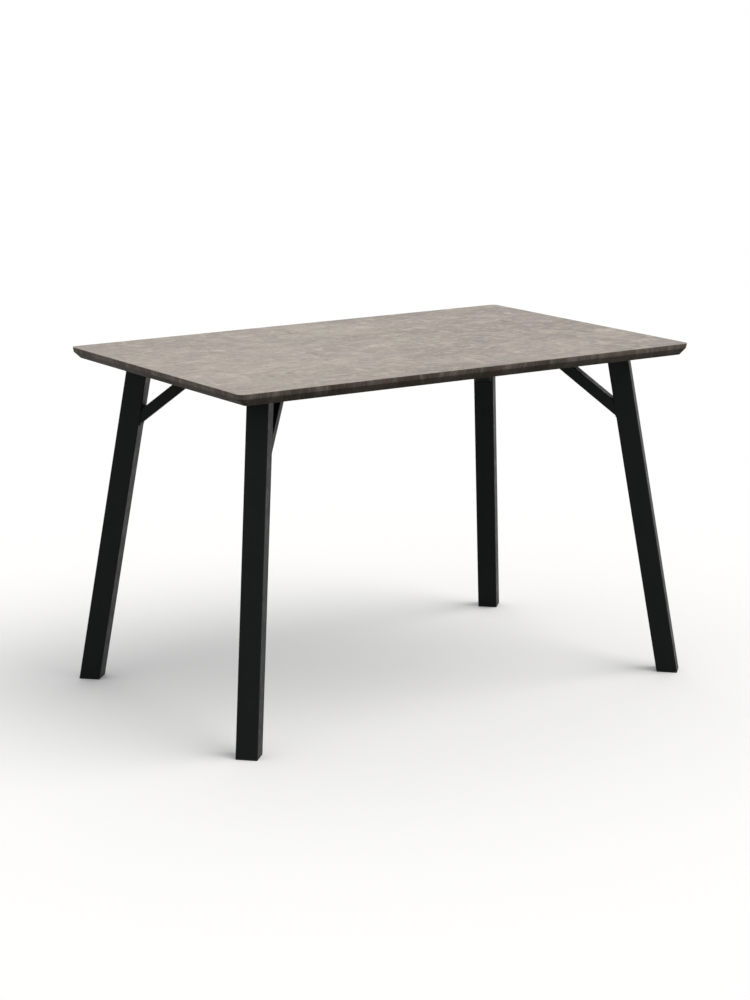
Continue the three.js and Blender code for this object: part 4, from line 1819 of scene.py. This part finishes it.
@dataclass
class StoredLeaf(Assembly):
    """The folded leaf: two boards back to back and two butt hinges."""

    edge: EdgeProfile = EdgeProfile()
    board_easing: float = 0.4 * MM
    plate: float = 1.3 * MM
    plate_reach: float = 26 * MM
    plate_corner: float = MM
    fold_gap: float = 0.4 * MM
    knuckles: int = 5
    knuckle_gap: float = 0.3 * MM
    knuckle_easing: float = 0.25 * MM
    pin_easing: float = 0.3 * MM
    screw_inset: float = 7 * MM
    screw_stagger: float = 5 * MM

    def build(self) -> None:
        """Builds both boards and both hinges."""
        self._board("leaf_board_lower", -1)
        self._board("leaf_board_upper", 1)
        for side in ("left", "right"):
            self._hinge(side)

    def _board(self, node: str, up: int) -> None:
        """Builds a board with the edge profile of the table on its outer side.

        Args:
            node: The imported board.
            up: 1 if its decor looks up, and -1 if it looks down.
        """
        low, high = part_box(node)
        face, back = (high.z, low.z) if up > 0 else (low.z, high.z)
        edge, whole = self.edge, self.table.height - self.table.underside
        slope = (edge.side_undercut - edge.band_lean) / (whole - edge.band_height)
        band_foot = Vector((0, low.y + edge.band_lean, face - up * edge.band_height))
        board = Workpiece.block(f"stored_{node}", low, high)
        for rise, run in ((edge.band_height, edge.band_lean), (1.0, slope)):
            board.trimmed(band_foot, Vector((0, -rise, -up * run)).normalized())
        board.eased(self.board_easing, clamp=False, least_angle=PROFILE_ANGLE)
        board.shaded().dressed(
            EDGING,
            (LAMINATE, lambda middle, normal: normal.z * up > LOOKS_UP and abs(middle.z - face) < MM),
            # the undercut, facing down, gets the darker copy of the edge decor: painted shade
            (UNDERCUT_PAINTED_SHADE, lambda middle, normal: -FLAT < normal.z * up < UNDERCUT_TILT),
            (BACKING, lambda middle, normal: normal.z * up < -FLAT and abs(middle.z - back) < MM),
        )
        self.fit(board, node, node)

    def _hinge(self, side: str) -> None:
        """Builds a folded butt hinge: two plates, their knuckles and the pin, and its screws.

        Args:
            side: The end of the leaf that it is at.
        """
        node, name = f"leaf_hinge_{side}", f"butt_hinge_{side}"
        low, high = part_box(node)
        z = ((low + high) / 2).z
        radius = (high.z - low.z) / 2
        axis_y = high.y - radius
        inner_y = axis_y - radius - self.plate_reach

        def corners(a: Vector, b: Vector) -> bool:
            """Picks the upright edges away from the knuckles."""
            return abs(a.z - b.z) > MM / 2 and a.y < axis_y - MM

        parts = []
        for up in (-1, 1):
            near, far = sorted((z + up * self.fold_gap / 2, z + up * (self.fold_gap / 2 + self.plate)))
            plate = Workpiece.block(name, (low.x, inner_y, near), (high.x, axis_y, far))
            parts.append(plate.eased(self.plate_corner, segments=3, test=corners))
        pitch = (high.x - low.x) / self.knuckles
        for i in range(self.knuckles):
            ends = low.x + i * pitch + self.knuckle_gap / 2, low.x + (i + 1) * pitch - self.knuckle_gap / 2
            knuckle = Workpiece.rod("knuckle", radius, *((x, axis_y, z) for x in ends))
            parts.append(knuckle.eased(self.knuckle_easing))
        ends = low.x - MM / 2, high.x + MM / 2
        pin = Workpiece.rod("pin", radius / 2, *((x, axis_y, z) for x in ends))
        parts.append(pin.eased(self.pin_easing))
        first, *others = parts
        self.stand_in(first.with_loose(*others), ZINC, node)

        for place, up in (("lower", -1), ("upper", 1)):
            seats = [
                (
                    low.x + (i + 0.5) * pitch,
                    inner_y + self.screw_inset + self.screw_stagger * (i % 2),
                    z + up * (self.fold_gap / 2 - HEAD_PROUD),
                )
                for i in range(self.knuckles)
            ]
            self.screw_on(node, HINGE_SCREW, f"hinge_screws_{place}_{side}", seats, up < 0)


# ---- latches ----


@dataclass
class Latch(Assembly):
    """A hook on a pivot under one half, and its keeper under the other."""

    row: str
    plate: float = 2 * MM
    plate_easing: float = 0.25 * MM
    hook_easing: float = 0.5 * MM
    screw_spread: float = 7 * MM

    def build(self) -> None:
        """Builds base, hook and keeper, with the screws of both plates."""
        row = self.row
        self.refine(f"pivot_plate_{row}", f"latch_base_{row}", ZINC, self.plate_easing)
        self.refine(f"swing_hook_{row}", f"latch_hook_{row}", BLACK_STEEL, self.hook_easing)
        self.refine(f"keeper_plate_{row}", f"latch_keeper_{row}", ZINC, self.plate_easing)
        for node in (f"latch_base_{row}", f"latch_keeper_{row}"):
            low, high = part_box(node)
            middle = (low + high) / 2
            spread, seat = self.screw_spread, high.z - self.plate - HEAD_PROUD
            seats = [
                (middle.x + dx * spread, middle.y + dy * spread, seat)
                for dx, dy in ((-1, -1), (1, 1), (-1, 1), (1, -1))
            ]
            self.screw_on(node, FLUSH_SCREW, f"{node}_screws", seats)


# ---- camera, light and floor ----


WHITE = (1.0, 1.0, 1.0)


def stage_object(name: str, data: bpy.types.ID) -> bpy.types.Object:
    """Adds a camera or lamp to the scene.

    Args:
        name: Its name.
        data: The camera's or lamp's own data.

    Returns:
        The new object.
    """
    obj = bpy.data.objects.new(name, data)
    bpy.context.scene.collection.objects.link(obj)
    return obj


@dataclass(frozen=True)
class Lamp:
    """A sun-like lamp: where it shines from, how strong it is and how soft. Angles are in degrees."""

    name: str
    azimuth: float
    elevation: float
    strength: float
    softness: float
    colour: Colour = WHITE

    def hang(self) -> None:
        """Adds the lamp. Azimuth 0 shines from -Y, and 90 from +X."""
        data = bpy.data.lights.new(self.name, "SUN")
        data.energy = self.strength
        data.angle = math.radians(self.softness)
        data.color = self.colour
        turn, rise = math.radians(self.azimuth), math.radians(self.elevation)
        level = math.cos(rise)
        towards = Vector((math.sin(turn) * level, -math.cos(turn) * level, math.sin(rise)))
        stage_object(self.name, data).rotation_euler = towards.to_track_quat("Z", "Y").to_euler()


@dataclass
class Studio:
    """A pale floor, soft light and the camera."""

    camera_place: Point = (-3.1435, -4.6456, 1.6814)
    camera_yaw: float = -33.936  # degrees
    camera_pitch: float = -12.706  # degrees
    lens: float = 89.415  # millimetres
    floor_size: float = 400.0
    fill: float = 0.62
    floor_bounce: Colour = (0.10, 0.10, 0.10)
    lamps: tuple[Lamp, ...] = (
        Lamp("key", 45.0, 55.0, 1.3, 50.0, (1.0, 0.985, 0.96)),
        Lamp("rim", 150.0, 35.0, 0.35, 60.0),
    )

    def build(self) -> None:
        """Sets up the view settings, camera, lamps, world and floor."""
        bpy.context.scene.view_settings.view_transform = "Standard"
        self._camera()
        for lamp in self.lamps:
            lamp.hang()
        self._world()
        self._floor()

    def _camera(self) -> None:
        """Adds the camera."""
        data = bpy.data.cameras.new("camera")
        data.lens = self.lens
        camera = stage_object("camera", data)
        camera.location = self.camera_place
        pitch, yaw = math.radians(90 + self.camera_pitch), math.radians(self.camera_yaw)
        camera.rotation_euler = (pitch, 0.0, yaw)
        bpy.context.scene.camera = camera

    @staticmethod
    def _seen(board: NodeBoard) -> Wire:
        """Tells rays that see a surface from the diffuse light that falls on it.

        Args:
            board: The node tree.

        Returns:
            1 for rays from the camera, from gloss or through glass, and 0 for others.
        """
        kinds = ("Is Camera Ray", "Is Glossy Ray", "Is Transmission Ray")
        camera, glossy, through = (board.node("ShaderNodeLightPath", {}, kind) for kind in kinds)
        return camera.highest(glossy).highest(through)

    def _world(self) -> None:
        """Adds a world that is white to look at and softer as a light."""
        world = bpy.data.worlds.new("studio")
        bpy.context.scene.world = world
        board = NodeBoard(world)
        light, white = (
            board.node("ShaderNodeBackground", {"Color": WHITE, "Strength": strength})
            for strength in (self.fill, 1.0)
        )
        shown = board.node("ShaderNodeMixShader", {0: self._seen(board), 1: light, 2: white})
        board.surface(shown, "ShaderNodeOutputWorld")

    def _floor(self) -> None:
        """Adds the floor, which keeps the table's shadow."""
        deselect_all()
        bpy.ops.mesh.primitive_plane_add(size=self.floor_size)
        floor = bpy.context.active_object
        floor.name = "studio_floor"
        material = bpy.data.materials.new("studio_floor")
        board = NodeBoard(material)
        colour = board.layered(self.floor_bounce, (self._seen(board), WHITE))
        sockets = {"Base Color": colour, "Roughness": 1.0, "Specular IOR Level": 0.0}
        board.surface(board.node("ShaderNodeBsdfPrincipled", sockets))
        floor.data.materials.append(material)
        floor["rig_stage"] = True


def main() -> None:
    """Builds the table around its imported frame, then the studio."""
    logging.basicConfig(level=logging.INFO, format="%(name)s: %(message)s")
    table = PackedTable()
    deselect_all()
    plan = LegPlan(table)
    screws = ScrewBox()
    Studio().build()
    TableTop(table, screws, plan).build()
    for corner in CORNERS:
        Leg(table, screws, plan, corner).build()
    SlideFrame(table, screws).build()
    Equaliser(table, screws).build()
    StoredLeaf(table, screws).build()
    for row in ("front", "rear"):
        Latch(table, screws, row).build()
    screws.emptied()


if __name__ == "__main__":
    main()
